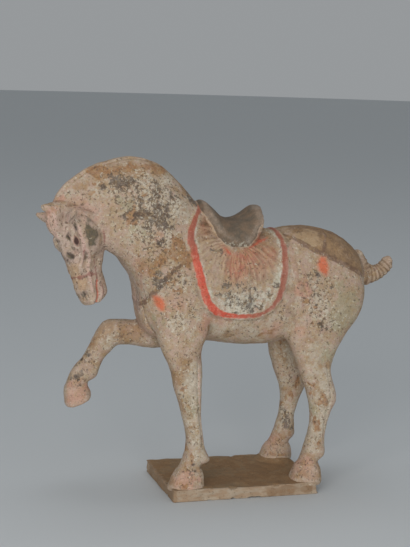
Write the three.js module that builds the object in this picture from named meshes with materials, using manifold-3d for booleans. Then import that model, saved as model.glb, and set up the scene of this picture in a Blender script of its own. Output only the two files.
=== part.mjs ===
// A prancing horse of painted grave pottery, saddled, on its rectangular clay plate.
// Millimetres, +Z up, the horse faces -X and its left flank is at -Y.
// The origin is the middle of the plate's underside.
// Every rounded mass is a loft through ribs: a rib runs from an outer edge point to an inner edge
// point in the horse's side view, and has a half-width across the horse.
import * as THREE from "three";
import { mergeVertices } from "three/addons/utils/BufferGeometryUtils.js";
import Module from "manifold-3d";

// Driving dimensions
const PLATE_LENGTH = 162;
const PLATE_WIDTH = 118;
const PLATE_THICKNESS = 12.5;
const PLATE_CORNER = 3;
const PLATE_EASE = 1.2;
const PAD_HEIGHT = 4.5; // a pad of clay under the right hind hoof
const PAD_RADIUS = 25;
const PAD_TAPER = 0.72; // the pad's top radius as a share of its foot's
const PAD_X = 71; // before the hind foot's shift
const JOINT_GAP = 0.3;
const FORE_STANCE = 40; // the standing foreleg's distance from the horse's middle plane
const HIND_STANCE = 40;
const RAISED_LEG_Y = 30;
const RIGHT_HIND_SHIFT = -6; // the right hind foot stands this much ahead of the left one
const BARREL_HALF_WIDTH = 48;
const CLOTH_THICKNESS = 2.2;
const FLAP_THICKNESS = 5;
const HEAD_TURN = 34; // degrees, towards the horse's left
const HEAD_TUCK = 11; // degrees, nose towards the chest
const HEAD_ROLL = 9; // degrees, muzzle towards the horse's left
const POLL = new THREE.Vector3(-184.6, -13, 299.9);
const SOLE = PLATE_THICKNESS + JOINT_GAP;

const CLAY = { color: 0xb3a08a, roughness: 0.95, metalness: 0 };
const BARE_CLAY = { color: 0x8a735b, roughness: 0.97, metalness: 0 };

const wasm = await Module();
wasm.setup();

// A closed three.js geometry as a solid, and a solid as a geometry.
function solidOf(geometry) {
  const bare = geometry.clone();
  bare.deleteAttribute("normal");
  bare.deleteAttribute("uv");
  const merged = mergeVertices(bare, 1e-4);
  return new wasm.Manifold(
    new wasm.Mesh({
      numProp: 3,
      vertProperties: merged.attributes.position.array,
      triVerts: new Uint32Array(merged.index.array),
    }),
  );
}

function geometryOf(solid) {
  const mesh = solid.getMesh();
  const geometry = new THREE.BufferGeometry();
  geometry.setAttribute("position", new THREE.BufferAttribute(mesh.vertProperties, 3));
  geometry.setIndex(new THREE.BufferAttribute(mesh.triVerts, 1));
  return geometry;
}

const joined = (solids) => solids.reduce((whole, next) => whole.add(next));

// A rib: outer edge (x, z), inner edge (x, z), the middle's y and the half-width.
const rib = (outer, inner, y, wide) => ({ outer, inner, y, wide });

const superCircle = (c, power) => Math.sign(c) * Math.abs(c) ** (2 / power);

// A closed loft through ribs. power 2 is an ellipse and more is squarer; taper below 0 narrows the
// outer edge; grow pushes the whole surface outwards.
function loft(ribs, { sides = 20, steps = 2, power = 2.2, taper = 0, grow = 0 } = {}) {
  const curve = (pick) => {
    const points = ribs.map((r) => new THREE.Vector3(...pick(r)));
    return new THREE.CatmullRomCurve3(points, false, "catmullrom", 0.5);
  };
  const outer = curve((r) => [r.outer[0], r.y, r.outer[1]]);
  const inner = curve((r) => [r.inner[0], r.y, r.inner[1]]);
  const width = curve((r) => [r.wide, 0, 0]);
  const geometry = new THREE.CylinderGeometry(1, 1, 1, sides, steps * (ribs.length - 1));
  const place = geometry.attributes.position;
  const across = new THREE.Vector3(0, 1, 0);
  for (let i = 0; i < place.count; i++) {
    const along = THREE.MathUtils.clamp(0.5 - place.getY(i), 0, 1);
    const high = outer.getPoint(along);
    const low = inner.getPoint(along);
    const centre = high.clone().add(low).multiplyScalar(0.5);
    const reach = high.clone().sub(centre);
    const depth = reach.length();
    const u = superCircle(place.getX(i), power);
    const v = superCircle(place.getZ(i), power);
    const wide = (width.getPoint(along).x + grow) * (1 + taper * u);
    const point = centre
      .addScaledVector(reach.normalize(), u * (depth + grow))
      .addScaledVector(across, v * wide);
    place.setXYZ(i, point.x, point.y, point.z);
  }
  const made = solidOf(geometry);
  if (made.volume() > 0) return made;
  const index = geometry.index.array;
  for (let i = 0; i < index.length; i += 3) [index[i + 1], index[i + 2]] = [index[i + 2], index[i + 1]];
  return solidOf(geometry);
}

function ball(x, y, z, rx, ry, rz, sides = 16) {
  const geometry = new THREE.SphereGeometry(1, sides, sides / 2);
  geometry.scale(rx, ry, rz).translate(x, y, z);
  return solidOf(geometry);
}

// The trunk from the front of the chest to the buttocks, outer edge above.
const trunkRibs = () => [
  rib([-109, 214], [-110, 202], 0, 12),
  rib([-106, 233], [-108, 186], 0, 28),
  rib([-98, 250], [-101, 172], 0, 38),
  rib([-82, 266], [-85, 163], 0, 44),
  rib([-58, 280], [-58, 160], 0, BARREL_HALF_WIDTH - 1),
  rib([-30, 284], [-30, 160], 0, BARREL_HALF_WIDTH),
  rib([0, 277], [0, 155], 0, BARREL_HALF_WIDTH),
  rib([30, 276], [30, 155], 0, BARREL_HALF_WIDTH),
  rib([60, 281], [60, 161], 0, BARREL_HALF_WIDTH),
  rib([85, 280], [88, 172], 0, BARREL_HALF_WIDTH),
  rib([107, 273], [110, 180], 0, 45),
  rib([124, 261], [126, 188], 0, 38),
  rib([136, 246], [136, 197], 0, 28),
  rib([142, 228], [142, 209], 0, 12),
];

// The arched neck, outer edge along the crest, from the head down into the shoulders.
const neckRibs = () => [
  rib([-203, 299], [-166, 270], -9, 11),
  rib([-200, 312], [-154, 263], -8, 14),
  rib([-189, 328], [-146, 260], -7, 18.5),
  rib([-170, 342], [-140, 257], -5, 23.5),
  rib([-144, 351], [-133, 251], -3, 29),
  rib([-116, 355], [-126, 242], -1, 34),
  rib([-88, 347], [-118, 231], 0, 38),
  rib([-66, 331], [-112, 217], 0, 42),
  rib([-46, 308], [-108, 200], 0, 45),
  rib([-28, 284], [-100, 184], 0, 46),
  rib([-12, 262], [-86, 172], 0, 43),
];

const body = (grow) =>
  joined([
    loft(trunkRibs(), { sides: 24, steps: 2, power: 2.3, grow }),
    loft(neckRibs(), { sides: 20, steps: 2, power: 2.2, taper: -0.35, grow }),
  ]);

// The standing foreleg, the horse's left, from the shoulder to the sole. Behind the fetlock is a
// spur of hair, and the hoof flares to its sole.
const standingForeleg = (y) =>
  loft(
    [
      rib([-92, 230], [-40, 224], y + 20, 12),
      rib([-98, 202], [-37, 198], y + 11, 22),
      rib([-97, 177], [-42, 175], y + 6, 22),
      rib([-91, 158], [-49, 157], y + 2, 18.5),
      rib([-82, 137], [-48, 136], y, 15),
      rib([-77, 116], [-48, 115], y, 13),
      rib([-70, 94], [-48, 93], y, 10.5),
      rib([-65, 73], [-46, 72], y, 9.5),
      rib([-63, 55], [-43, 54], y, 10.5),
      rib([-65, 44], [-38, 41], y, 11.5),
      rib([-69, 35], [-47, 34], y, 10),
      rib([-74, 25], [-44, 25], y, 13.5),
      rib([-77.5, SOLE], [-43, SOLE], y, 16.5),
    ],
    { sides: 14, steps: 2, power: 2.4 },
  );

// A hind leg from the haunch to the sole. side is 1 on the horse's right; shift moves the foot along
// the horse, and lift is the height of the pad that it stands on.
const hindLeg = (y, side, shift, lift) =>
  loft(
    [
      rib([70, 246], [122, 242], y - side * 22, 13),
      rib([52, 212], [139, 210], y - side * 15, 27),
      rib([47, 186], [128, 190], y - side * 12, 25),
      rib([47, 168], [112, 168], y - side * 8, 21),
      rib([53 + shift / 2, 150], [100, 150], y - side * 4, 17),
      rib([60 + shift, 132], [95 + shift, 131], y, 14),
      rib([66 + shift, 115], [100 + shift, 114], y, 12.5),
      rib([71 + shift, 101], [103 + shift, 99], y, 11.5),
      rib([74 + shift, 84], [96 + shift, 83], y, 10),
      rib([73 + shift, 66], [91 + shift, 65], y, 9.5),
      rib([69 + shift, 51], [91 + shift, 50], y, 11),
      rib([66 + shift, 41], [91.5 + shift, 39], y, 11.5),
      rib([62.5 + shift, 33], [84 + shift, 32], y, 10),
      rib([58 + shift, 24 + lift / 2], [87 + shift, 24 + lift / 2], y, 14),
      rib([54.5 + shift, SOLE + lift], [87.5 + shift, SOLE + lift], y, 16.5),
    ],
    { sides: 14, steps: 2, power: 2.4 },
  );

// The raised foreleg, the horse's right: forearm level, cannon and hoof hanging back down.
const raisedForeleg = (y) =>
  loft(
    [
      rib([-56, 190], [-50, 154], y - 8, 18),
      rib([-80, 180], [-76, 147], y - 2, 18),
      rib([-98, 177], [-97, 148], y, 15.5),
      rib([-118, 179], [-114, 151], y, 14),
      rib([-134, 178], [-124, 150], y, 13),
      rib([-144, 168], [-129, 145], y, 11.5),
      rib([-152, 152], [-136, 138], y, 10),
      rib([-160, 139], [-141, 128], y, 9.5),
      rib([-170, 128], [-145, 117], y, 11),
      rib([-176, 115], [-155, 111], y, 10.5),
      rib([-179, 103], [-151, 102], y, 13),
      rib([-177, 85], [-151, 94], y, 15),
    ],
    { sides: 14, steps: 2, power: 2.3 },
  );

// The head in its own frame: x runs from the poll to the muzzle, z out of the forehead.
function head() {
  const skull = loft(
    [
      rib([-8, 8], [-2, -14], 0, 11),
      rib([0, 14], [4, -24], 0, 17),
      rib([12, 18], [14, -30], 0, 18.5),
      rib([26, 20], [28, -35], 0, 18.5),
      rib([40, 20], [41, -34], 0, 16.5),
      rib([52, 16.5], [53, -26], 0, 14),
      rib([66, 14.5], [66, -19.5], 0, 12.5),
      rib([80, 13.5], [80, -21], 0, 12.5),
      rib([91, 10.5], [90, -20], 0, 13),
      rib([98, 6], [96, -12], 0, 10.5),
    ],
    { sides: 16, steps: 2, power: 2.4, taper: -0.08 },
  );
  const parts = [skull];
  for (const side of [-1, 1]) {
    parts.push(ball(29, side * 13, -16, 19, 9, 17));
    parts.push(ball(29, side * 13.5, 12, 7.5, 5.5, 6));
    parts.push(ear(side));
  }
  parts.push(forelock(), tuft());
  const frame = new THREE.Matrix4().makeBasis(...headAxes()).setPosition(POLL);
  return joined(parts).transform(frame.elements);
}

// The lock that lies on the forehead between the ears.
const forelock = () =>
  loft(
    [
      rib([-10, 24], [-6, 10], 0, 6),
      rib([-2, 28], [0, 12], 0, 9),
      rib([10, 29], [10, 14], 0, 9.5),
      rib([20, 25], [19, 14], 0, 8),
      rib([28, 20], [27, 15], 0, 4),
    ],
    { sides: 10, steps: 2 },
  );

// The tuft above it, jutting forward from the end of the crest.
const tuft = () =>
  loft(
    [
      rib([-12, -2], [4, -2], -1, 7),
      rib([-14, 16], [0, 16], -2, 7),
      rib([-16, 31], [-9, 30], -3, 3.5),
    ],
    { sides: 10, steps: 2 },
  );

// A short ear, outwards and a little up, flat from front to back. side is 1 on the horse's left.
function ear(side) {
  const root = new THREE.Vector3(8, side * 9, 11);
  const tip = new THREE.Vector3(-4, side * 29, 20);
  const length = root.distanceTo(tip);
  const geometry = new THREE.CylinderGeometry(2, 8.5, length, 10, 3);
  const place = geometry.attributes.position;
  for (let i = 0; i < place.count; i++) {
    const up = place.getY(i) / length + 0.5;
    const swell = 1 + 0.3 * Math.sin(Math.PI * up);
    place.setXYZ(i, place.getX(i) * swell, place.getY(i), place.getZ(i) * swell * 0.6);
  }
  const upright = new THREE.Vector3(0, 1, 0);
  const lean = tip.clone().sub(root).normalize();
  geometry.applyQuaternion(new THREE.Quaternion().setFromUnitVectors(upright, lean));
  const middle = root.clone().add(tip).multiplyScalar(0.5);
  geometry.translate(middle.x, middle.y, middle.z);
  return solidOf(geometry);
}

// The head's axes in the horse's frame: down the face, to the horse's left, out of the forehead.
function headAxes() {
  const turn = THREE.MathUtils.degToRad(HEAD_TURN);
  const forward = new THREE.Vector3(-Math.cos(turn), -Math.sin(turn), 0);
  const left = new THREE.Vector3(Math.sin(turn), -Math.cos(turn), 0);
  const face = new THREE.Vector3(0, 0, -1)
    .addScaledVector(forward, -Math.tan(THREE.MathUtils.degToRad(HEAD_TUCK)))
    .addScaledVector(left, Math.tan(THREE.MathUtils.degToRad(HEAD_ROLL)))
    .normalize();
  const brow = new THREE.Vector3().crossVectors(face, left).normalize();
  const side = new THREE.Vector3().crossVectors(brow, face).normalize();
  return [face, side, brow];
}

// The short bound tail: down from the dock, then flicked up and back.
const tail = () =>
  loft(
    [
      rib([128, 252], [122, 240], 0, 8),
      rib([139, 254], [130, 242], 0, 8.5),
      rib([145, 246], [134, 232], 0, 9),
      rib([149, 239], [140, 216], 0, 9.5),
      rib([156, 236], [154, 217], 0, 9.5),
      rib([163, 238], [165, 222], 0, 8.5),
      rib([170, 242], [174, 230], 0, 6.5),
      rib([176, 245], [178, 240], 0, 3.5),
    ],
    { sides: 14, steps: 2 },
  );

// A side-view outline through (x, z) points, smoothly closed and cut straight across the horse.
function throughHorse(points) {
  const curve = new THREE.CatmullRomCurve3(points.map(([x, z]) => new THREE.Vector3(x, z, 0)), true);
  const smooth = curve.getPoints(points.length * 3).slice(0, -1);
  const outline = new THREE.Shape(smooth.map((p) => new THREE.Vector2(p.x, p.y)));
  const geometry = new THREE.ExtrudeGeometry(outline, { depth: PLATE_WIDTH, bevelEnabled: false });
  geometry.rotateX(Math.PI / 2).translate(0, PLATE_WIDTH / 2, 0);
  return solidOf(geometry);
}

// The saddle cloth, a deep rounded skirt on both flanks.
const clothOutline = () =>
  throughHorse([
    [-44, 312], [-58, 298], [-66, 282], [-68, 262], [-63, 240], [-55, 216], [-43, 199], [-24, 192],
    [0, 191], [22, 197], [35, 212], [39, 235], [39, 262], [34, 283], [10, 300], [-20, 312],
  ]);

// The saddle, with a standing pommel and cantle and short rounded flaps.
const saddleOutline = () =>
  throughHorse([
    [-47, 305], [-42, 310], [-36, 306], [-23, 294], [-9, 288.5], [4, 293], [15, 300], [22, 299],
    [20, 292], [10, 284], [4, 271], [-8, 263], [-20, 261], [-30, 267], [-38, 280], [-43, 293],
  ]);

const saddleRibs = () => [
  rib([-54, 308], [-54, 236], 0, 31),
  rib([-42, 312], [-42, 236], 0, 33),
  rib([-24, 298], [-24, 236], 0, 37),
  rib([-6, 293], [-6, 236], 0, 38),
  rib([14, 301], [14, 236], 0, 34),
  rib([32, 303], [32, 236], 0, 30),
];

function saddle() {
  const flaps = body(FLAP_THICKNESS).intersect(saddleOutline());
  const seat = loft(saddleRibs(), { sides: 24, steps: 2, power: 2.1 }).intersect(saddleOutline());
  return flaps.add(seat);
}

function horse() {
  const cloth = body(CLOTH_THICKNESS).intersect(clothOutline());
  return joined([
    body(0),
    cloth,
    saddle(),
    head(),
    tail(),
    standingForeleg(-FORE_STANCE),
    raisedForeleg(RAISED_LEG_Y),
    hindLeg(-HIND_STANCE, -1, 0, 0),
    hindLeg(HIND_STANCE, 1, RIGHT_HIND_SHIFT, PAD_HEIGHT),
  ]);
}

// The hand-cut clay plate, with its edges eased, and the pad under one hoof.
function plate() {
  const outline = new THREE.Shape();
  const x = PLATE_LENGTH / 2 - PLATE_CORNER;
  const y = PLATE_WIDTH / 2 - PLATE_CORNER;
  for (const [cx, cy, start] of [[x, y, 0], [-x, y, 0.5], [-x, -y, 1], [x, -y, 1.5]])
    outline.absarc(cx, cy, PLATE_CORNER, start * Math.PI, (start + 0.5) * Math.PI, false);
  const slab = new THREE.ExtrudeGeometry(outline, {
    depth: PLATE_THICKNESS - 2 * PLATE_EASE,
    bevelEnabled: true,
    bevelThickness: PLATE_EASE,
    bevelSize: PLATE_EASE,
    bevelOffset: -PLATE_EASE,
    bevelSegments: 2,
    curveSegments: 4,
  }).translate(0, 0, PLATE_EASE);
  const pad = new THREE.CylinderGeometry(PAD_TAPER * PAD_RADIUS, PAD_RADIUS, 2 * PAD_HEIGHT, 28)
    .rotateX(Math.PI / 2)
    .translate(PAD_X + RIGHT_HIND_SHIFT, HIND_STANCE, PLATE_THICKNESS);
  const withinEdges = solidOf(slab.clone().translate(0, 0, PAD_HEIGHT));
  return solidOf(slab).add(solidOf(pad).intersect(withinEdges));
}

function named(name, geometry, finish) {
  const mesh = new THREE.Mesh(geometry, new THREE.MeshStandardMaterial(finish));
  mesh.name = name;
  return mesh;
}

const group = new THREE.Group();
group.add(named("horse", geometryOf(horse()), CLAY));
group.add(named("base_plate", geometryOf(plate()), BARE_CLAY));

export default group;
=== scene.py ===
"""A prancing horse of painted grave pottery, saddled, on its clay plate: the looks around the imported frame.

The horse faces -X, its left flank is at -Y and the plate's underside is at Z = 0. Places and sizes in
this file are millimetres, and MM turns them into Blender's metres when a mesh is written.
"""
import math

import bmesh
import bpy
import numpy as np
from bpy.props import FloatProperty, FloatVectorProperty, IntProperty, PointerProperty
from mathutils import Matrix, Quaternion, Vector
from mathutils.bvhtree import BVHTree


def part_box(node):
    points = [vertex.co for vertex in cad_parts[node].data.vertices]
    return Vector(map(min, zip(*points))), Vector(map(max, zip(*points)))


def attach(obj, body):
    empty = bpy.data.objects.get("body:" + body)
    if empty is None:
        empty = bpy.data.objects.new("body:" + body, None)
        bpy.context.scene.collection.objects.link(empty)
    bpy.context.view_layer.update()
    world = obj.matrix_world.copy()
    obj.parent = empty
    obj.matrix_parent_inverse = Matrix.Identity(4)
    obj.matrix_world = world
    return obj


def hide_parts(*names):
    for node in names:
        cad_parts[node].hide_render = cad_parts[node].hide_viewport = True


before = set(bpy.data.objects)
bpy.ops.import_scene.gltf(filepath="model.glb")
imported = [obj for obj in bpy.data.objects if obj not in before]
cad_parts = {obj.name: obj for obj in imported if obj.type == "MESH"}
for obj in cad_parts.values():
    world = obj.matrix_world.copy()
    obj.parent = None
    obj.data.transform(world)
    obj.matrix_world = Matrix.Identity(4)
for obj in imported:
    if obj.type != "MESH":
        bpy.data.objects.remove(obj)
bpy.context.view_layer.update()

bl_info = {
    "name": "Painted pottery horse",
    "version": (1, 0, 0),
    "blender": (4, 5, 0),
    "location": "View3D > Sidebar > Horse",
    "description": "Models a painted pottery horse, its plate and a plain studio",
    "category": "Object",
}

MM = 0.001
PLATE_LOW, PLATE_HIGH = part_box("base_plate")
PLATE_SIZE = PLATE_HIGH - PLATE_LOW  # metres, with the rise under the right hind hoof
SOLE = 12.0  # a little way into the plate's top
FORE_HOOF_X = -60
HIND_HOOF_X = 71
FORE_STANCE = 40  # from the middle plane to the middle of a leg
HIND_STANCE = 40
RAISED_LEG_Y = 30
RIGHT_HIND_SHIFT = -6
PAD_HEIGHT = 4.5
HOOF_TOP = 31
RAISED_HOOF_TOP = 111
WRAP_PITCH = 4.6  # from one turn of the tail's cord to the next
PLEATS_IN_CIRCLE = 33  # as many as would stand in a full turn round their centre
HEAD_TURN, HEAD_TUCK, HEAD_ROLL = 34, 11, 9  # degrees
POLL = Vector((-184.6, -13, 299.9))
HEAD_REACH = 130  # from the poll to beyond the muzzle


# Curves, distances and soft steps

def smooth_through(knots, steps, closed=False):
    """Rows on a Catmull-Rom curve through the given rows, with `steps` to a span."""
    knots = np.array(knots, float)
    if closed:
        padded = np.vstack([knots[-1], knots, knots[:2]])
    else:
        padded = np.vstack([2 * knots[0] - knots[1], knots, 2 * knots[-1] - knots[-2]])
    rows = []
    for a, b, c, d in zip(padded, padded[1:], padded[2:], padded[3:]):
        for t in np.arange(steps) / steps:
            bend = (2 * a - 5 * b + 4 * c - d) * t**2 + (3 * b - a - 3 * c + d) * t**3
            rows.append(0.5 * (2 * b + (c - a) * t + bend))
    if not closed:
        rows.append(knots[-1])
    return np.array(rows)


def soft_step(value, low, high):
    """0 below low, 1 above high and smooth between them."""
    t = np.clip((value - low) / (high - low), 0, 1)
    return t * t * (3 - 2 * t)


def inside_line(points, line):
    """How far inside a drawn line each point is. The line's rows are (x, y, z, half-width)."""
    widest = line[:, 3].max()
    margin = widest + 12
    result = np.full(len(points), -margin)
    low, high = line[:, :3].min(0) - margin, line[:, :3].max(0) + margin
    close = np.all((points > low) & (points < high), axis=1)
    near = points[close]
    best = result[close]
    for start, end in zip(line, line[1:]):
        span = end - start
        offset = near - start[:3]
        t = np.clip(offset @ span[:3] / max(span[:3] @ span[:3], 1e-9), 0, 1)
        gap = np.linalg.norm(offset - t[:, None] * span[:3], axis=1)
        best = np.maximum(best, start[3] + t * span[3] - gap)
    result[close] = best
    return result


def length_along(points, line):
    """How far along a drawn line the nearest place to each point is."""
    gap = np.full(len(points), np.inf)
    result = np.zeros(len(points))
    passed = 0.0
    for start, end in zip(line, line[1:]):
        span = end - start
        offset = points - start
        t = np.clip(offset @ span / (span @ span), 0, 1)
        away = np.linalg.norm(offset - t[:, None] * span, axis=1)
        result = np.where(away < gap, passed + t * np.linalg.norm(span), result)
        gap = np.minimum(gap, away)
        passed += np.linalg.norm(span)
    return result


def inside_outline(x, z, outline):
    """Signed distance from the points (x, z) to a closed outline, positive inside it."""
    gap = np.full(len(x), np.inf)
    inside = np.zeros(len(x), bool)
    for (ax, az), (bx, bz) in zip(outline, np.roll(outline, -1, axis=0)):
        ux, uz = bx - ax, bz - az
        t = np.clip(((x - ax) * ux + (z - az) * uz) / (ux * ux + uz * uz), 0, 1)
        gap = np.minimum(gap, np.hypot(x - ax - t * ux, z - az - t * uz))
        if az != bz:
            crosses = (z > az) != (z > bz)
            inside ^= crosses & (x < ax + (z - az) * ux / uz)
    return np.where(inside, gap, -gap)


def dab(points, centre, radii):
    """A round soft weight: 1 at the centre and 0 from the radii outwards."""
    reach = ((points - np.array(centre, float)) / np.array(radii, float)) ** 2
    return np.clip(1 - reach.sum(1), 0, 1) ** 2


def waves(points, length, seed, count=24):
    """Smooth unevenness between about -1 and 1, with bumps of about the given length."""
    draw = np.random.default_rng(seed)
    total = np.zeros(len(points))
    for _ in range(count):
        heading = draw.normal(size=3)
        heading *= 2 * math.pi / (length * draw.uniform(0.7, 1.8) * np.linalg.norm(heading))
        total += np.sin(points @ heading + draw.uniform(0, 2 * math.pi))
    return total / math.sqrt(count)


# Clay: a mesh's points in millimetres, and the moves of modelling tools on them

class Clay:
    """A mesh whose points are pushed about as clay is."""

    def __init__(self, mesh):
        self.mesh = mesh
        count = len(mesh.vertices)
        place = np.empty(count * 3, np.float32)
        mesh.vertices.foreach_get("co", place)
        self.points = place.reshape(-1, 3).astype(float) / MM
        edges = np.empty(len(mesh.edges) * 2, np.int32)
        mesh.edges.foreach_get("vertices", edges)
        self.one, self.other = edges.reshape(-1, 2).T
        self.degree = np.bincount(self.one, minlength=count) + np.bincount(self.other, minlength=count)

    def store(self):
        """Writes the points back to the mesh."""
        self.mesh.vertices.foreach_set("co", (self.points * MM).astype(np.float32).ravel())
        self.mesh.update()

    def normals(self):
        """Outward directions at the points as they are now."""
        self.store()
        found = np.empty(len(self.points) * 3, np.float32)
        self.mesh.vertex_normals.foreach_get("vector", found)
        return found.reshape(-1, 3).astype(float)

    def around(self, values):
        """The mean of a value over each point's neighbours."""
        count = len(self.points)
        total = np.bincount(self.one, values[self.other], count)
        total += np.bincount(self.other, values[self.one], count)
        return total / self.degree

    def drift(self):
        """From each point to the middle of its neighbours."""
        return np.column_stack([self.around(axis) for axis in self.points.T]) - self.points

    def push(self, amount):
        """Moves each point outwards by its own amount."""
        self.points += self.normals() * np.asarray(amount)[:, None]

    def smooth(self, rounds, where=1.0, strength=0.5):
        """Evens out the clay, by as much as `where` says at each point."""
        for _ in range(rounds):
            self.points += self.drift() * (strength * np.asarray(where)).reshape(-1, 1)

    def fill_hollows(self, rounds, radius, spacing):
        """Fills every sharp inner corner until it is as round as the radius."""
        allowed = spacing**2 / (4 * radius)
        for turn in range(rounds):
            if turn % 4 == 0:
                normals = self.normals()
            drift = self.drift()
            hollow = (drift * normals).sum(1)
            fill = np.clip(hollow - allowed, 0, spacing)
            slide = drift - normals * hollow[:, None]
            self.points += normals * fill[:, None] + slide * (0.3 * (fill > 0))[:, None]

    def surface(self):
        """A finder for the nearest place on the clay."""
        self.store()
        work = bmesh.new()
        work.from_mesh(self.mesh)
        tree = BVHTree.FromBMesh(work)
        work.free()
        return tree


def on_surface(tree, line):
    """A line's rows with each place moved onto the clay."""
    rows = np.array(line, float)
    for row in rows:
        found = tree.find_nearest(Vector(row[:3]) * MM)[0]
        row[:3] = found / MM
    return rows


def modified(mesh, name, kind, **settings):
    """The mesh as it comes out of one modifier."""
    lump = bpy.data.objects.new(name, mesh)
    bpy.context.scene.collection.objects.link(lump)
    modifier = lump.modifiers.new(name, kind)
    for setting, value in settings.items():
        setattr(modifier, setting, value)
    depsgraph = bpy.context.evaluated_depsgraph_get()
    result = bpy.data.meshes.new_from_object(lump.evaluated_get(depsgraph))
    bpy.data.objects.remove(lump)
    return result


def remeshed(mesh, voxel, name):
    """One even skin around everything in the mesh."""
    return modified(mesh, name, "REMESH", mode="VOXEL", voxel_size=voxel * MM)


def subdivided(mesh, name):
    """The mesh once through Catmull-Clark."""
    return modified(mesh, name, "SUBSURF", levels=1, render_levels=1)


def thinned(mesh, triangles, name):
    """The mesh with its faces merged, where it is flattest first, down to a number of triangles."""
    count = sum(len(face.vertices) - 2 for face in mesh.polygons)
    ratio = min(1.0, triangles / count)
    return modified(mesh, name, "DECIMATE", ratio=ratio, use_collapse_triangulate=True)


# Masses: skins through ribs. A rib is an outer edge (x, z), an inner edge (x, z), the middle's y and
# the half-width across. The head's ribs are in the head's own frame, the ear's in the ear's.

def super_circle(value, power):
    """A circle's coordinate moved onto a squarer ring."""
    return math.copysign(abs(value) ** (2 / power), value)


def add_skin(bm, ribs, power=2.2, taper=0.0, segments=40, steps=6, frame_of_skin=None):
    """A closed skin through the ribs. Taper below 0 narrows the outer edge."""
    rows = [(*outer, *inner, y, wide) for outer, inner, y, wide in ribs]
    rings = []
    made = []
    for outer_x, outer_z, inner_x, inner_z, y, wide in smooth_through(rows, steps):
        high = Vector((outer_x, y, outer_z))
        low = Vector((inner_x, y, inner_z))
        centre = (high + low) / 2
        circle = bmesh.ops.create_circle(bm, segments=segments, radius=1)["verts"]
        for vert in circle:
            along = super_circle(vert.co.x, power)
            across = super_circle(vert.co.y, power) * wide * (1 + taper * along)
            vert.co = (centre + (high - centre) * along + Vector((0, across, 0))) * MM
        rings.append(list({edge for vert in circle for edge in vert.link_edges}))
        made += circle
    for ring, following in zip(rings, rings[1:]):
        bmesh.ops.bridge_loops(bm, edges=ring + following)
    for end in (rings[0], rings[-1]):
        bmesh.ops.contextual_create(bm, geom=end)
    if frame_of_skin:
        bmesh.ops.transform(bm, matrix=frame_of_skin, verts=made)


def add_ball(bm, centre, radii, frame_of_ball):
    """A stretched ball at a place in the given frame."""
    size = Matrix.Diagonal((*(radius * MM for radius in radii), 1))
    matrix = frame_of_ball @ (Matrix.Translation(Vector(centre) * MM) @ size)
    bmesh.ops.create_icosphere(bm, subdivisions=4, radius=1, matrix=matrix)


def mesh_of(bm, name):
    """The finished bmesh as a mesh, with its faces outwards."""
    bmesh.ops.recalc_face_normals(bm, faces=bm.faces)
    mesh = bpy.data.meshes.new(name)
    bm.to_mesh(mesh)
    bm.free()
    return mesh


TRUNK = [
    ((-109, 214), (-110, 202), 0, 12),
    ((-106, 233), (-108, 186), 0, 28),
    ((-98, 250), (-101, 172), 0, 38),
    ((-82, 266), (-85, 163), 0, 44),
    ((-58, 280), (-58, 160), 0, 47),
    ((-30, 284), (-30, 160), 0, 48),
    ((0, 277), (0, 155), 0, 48),
    ((30, 276), (30, 155), 0, 48),
    ((60, 281), (60, 161), 0, 48),
    ((85, 280), (88, 172), 0, 48),
    ((107, 273), (110, 180), 0, 45),
    ((124, 261), (126, 188), 0, 38),
    ((136, 246), (136, 197), 0, 28),
    ((142, 228), (142, 209), 0, 12),
]
NECK = [
    ((-203, 299), (-166, 270), -9, 11),
    ((-200, 312), (-154, 263), -9, 12),
    ((-189, 328), (-146, 260), -8, 14.5),
    ((-170, 342), (-140, 257), -6, 18.5),
    ((-144, 351), (-133, 251), -4, 25),
    ((-116, 355), (-126, 242), -1, 32),
    ((-88, 347), (-118, 231), 0, 38),
    ((-66, 331), (-112, 217), 0, 42),
    ((-46, 308), (-108, 200), 0, 45),
    ((-28, 284), (-100, 184), 0, 46),
    ((-12, 262), (-86, 172), 0, 43),
]
TAIL = [
    ((128, 252), (122, 240), 0, 8),
    ((139, 254), (130, 242), 0, 8.5),
    ((145, 246), (134, 232), 0, 9),
    ((149, 239), (140, 216), 0, 9.5),
    ((156, 236), (154, 217), 0, 9.5),
    ((163, 238), (165, 222), 0, 8.5),
    ((168, 244), (173, 229), 0, 7),
    ((172.5, 246), (177, 235), 0, 5.5),
    ((174.5, 246), (177, 240), 0, 3),
]


def standing_foreleg(y):
    """From the shoulder to the sole, with a spur of hair behind the fetlock."""
    return [
        ((-92, 230), (-40, 224), y + 20, 12),
        ((-98, 202), (-37, 198), y + 11, 22),
        ((-97, 177), (-42, 175), y + 6, 22),
        ((-91, 158), (-49, 157), y + 2, 18.5),
        ((-82, 137), (-48, 136), y, 15),
        ((-77, 116), (-48, 115), y, 13),
        ((-70, 94), (-48, 93), y, 10.5),
        ((-65, 73), (-46, 72), y, 9.5),
        ((-63, 55), (-43, 54), y, 10.5),
        ((-65, 45), (-38.5, 43), y, 11.5),
        ((-66.5, 41), (-37, 38.5), y, 10.5),
        ((-69, 35), (-47, 35), y, 10),
        ((-75, 25), (-44.5, 25), y, 13.5),
        ((-80.5, SOLE), (-43.5, SOLE), y, 17),
        ((-82, SOLE - 4), (-43, SOLE - 4), y, 18),
    ]


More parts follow.
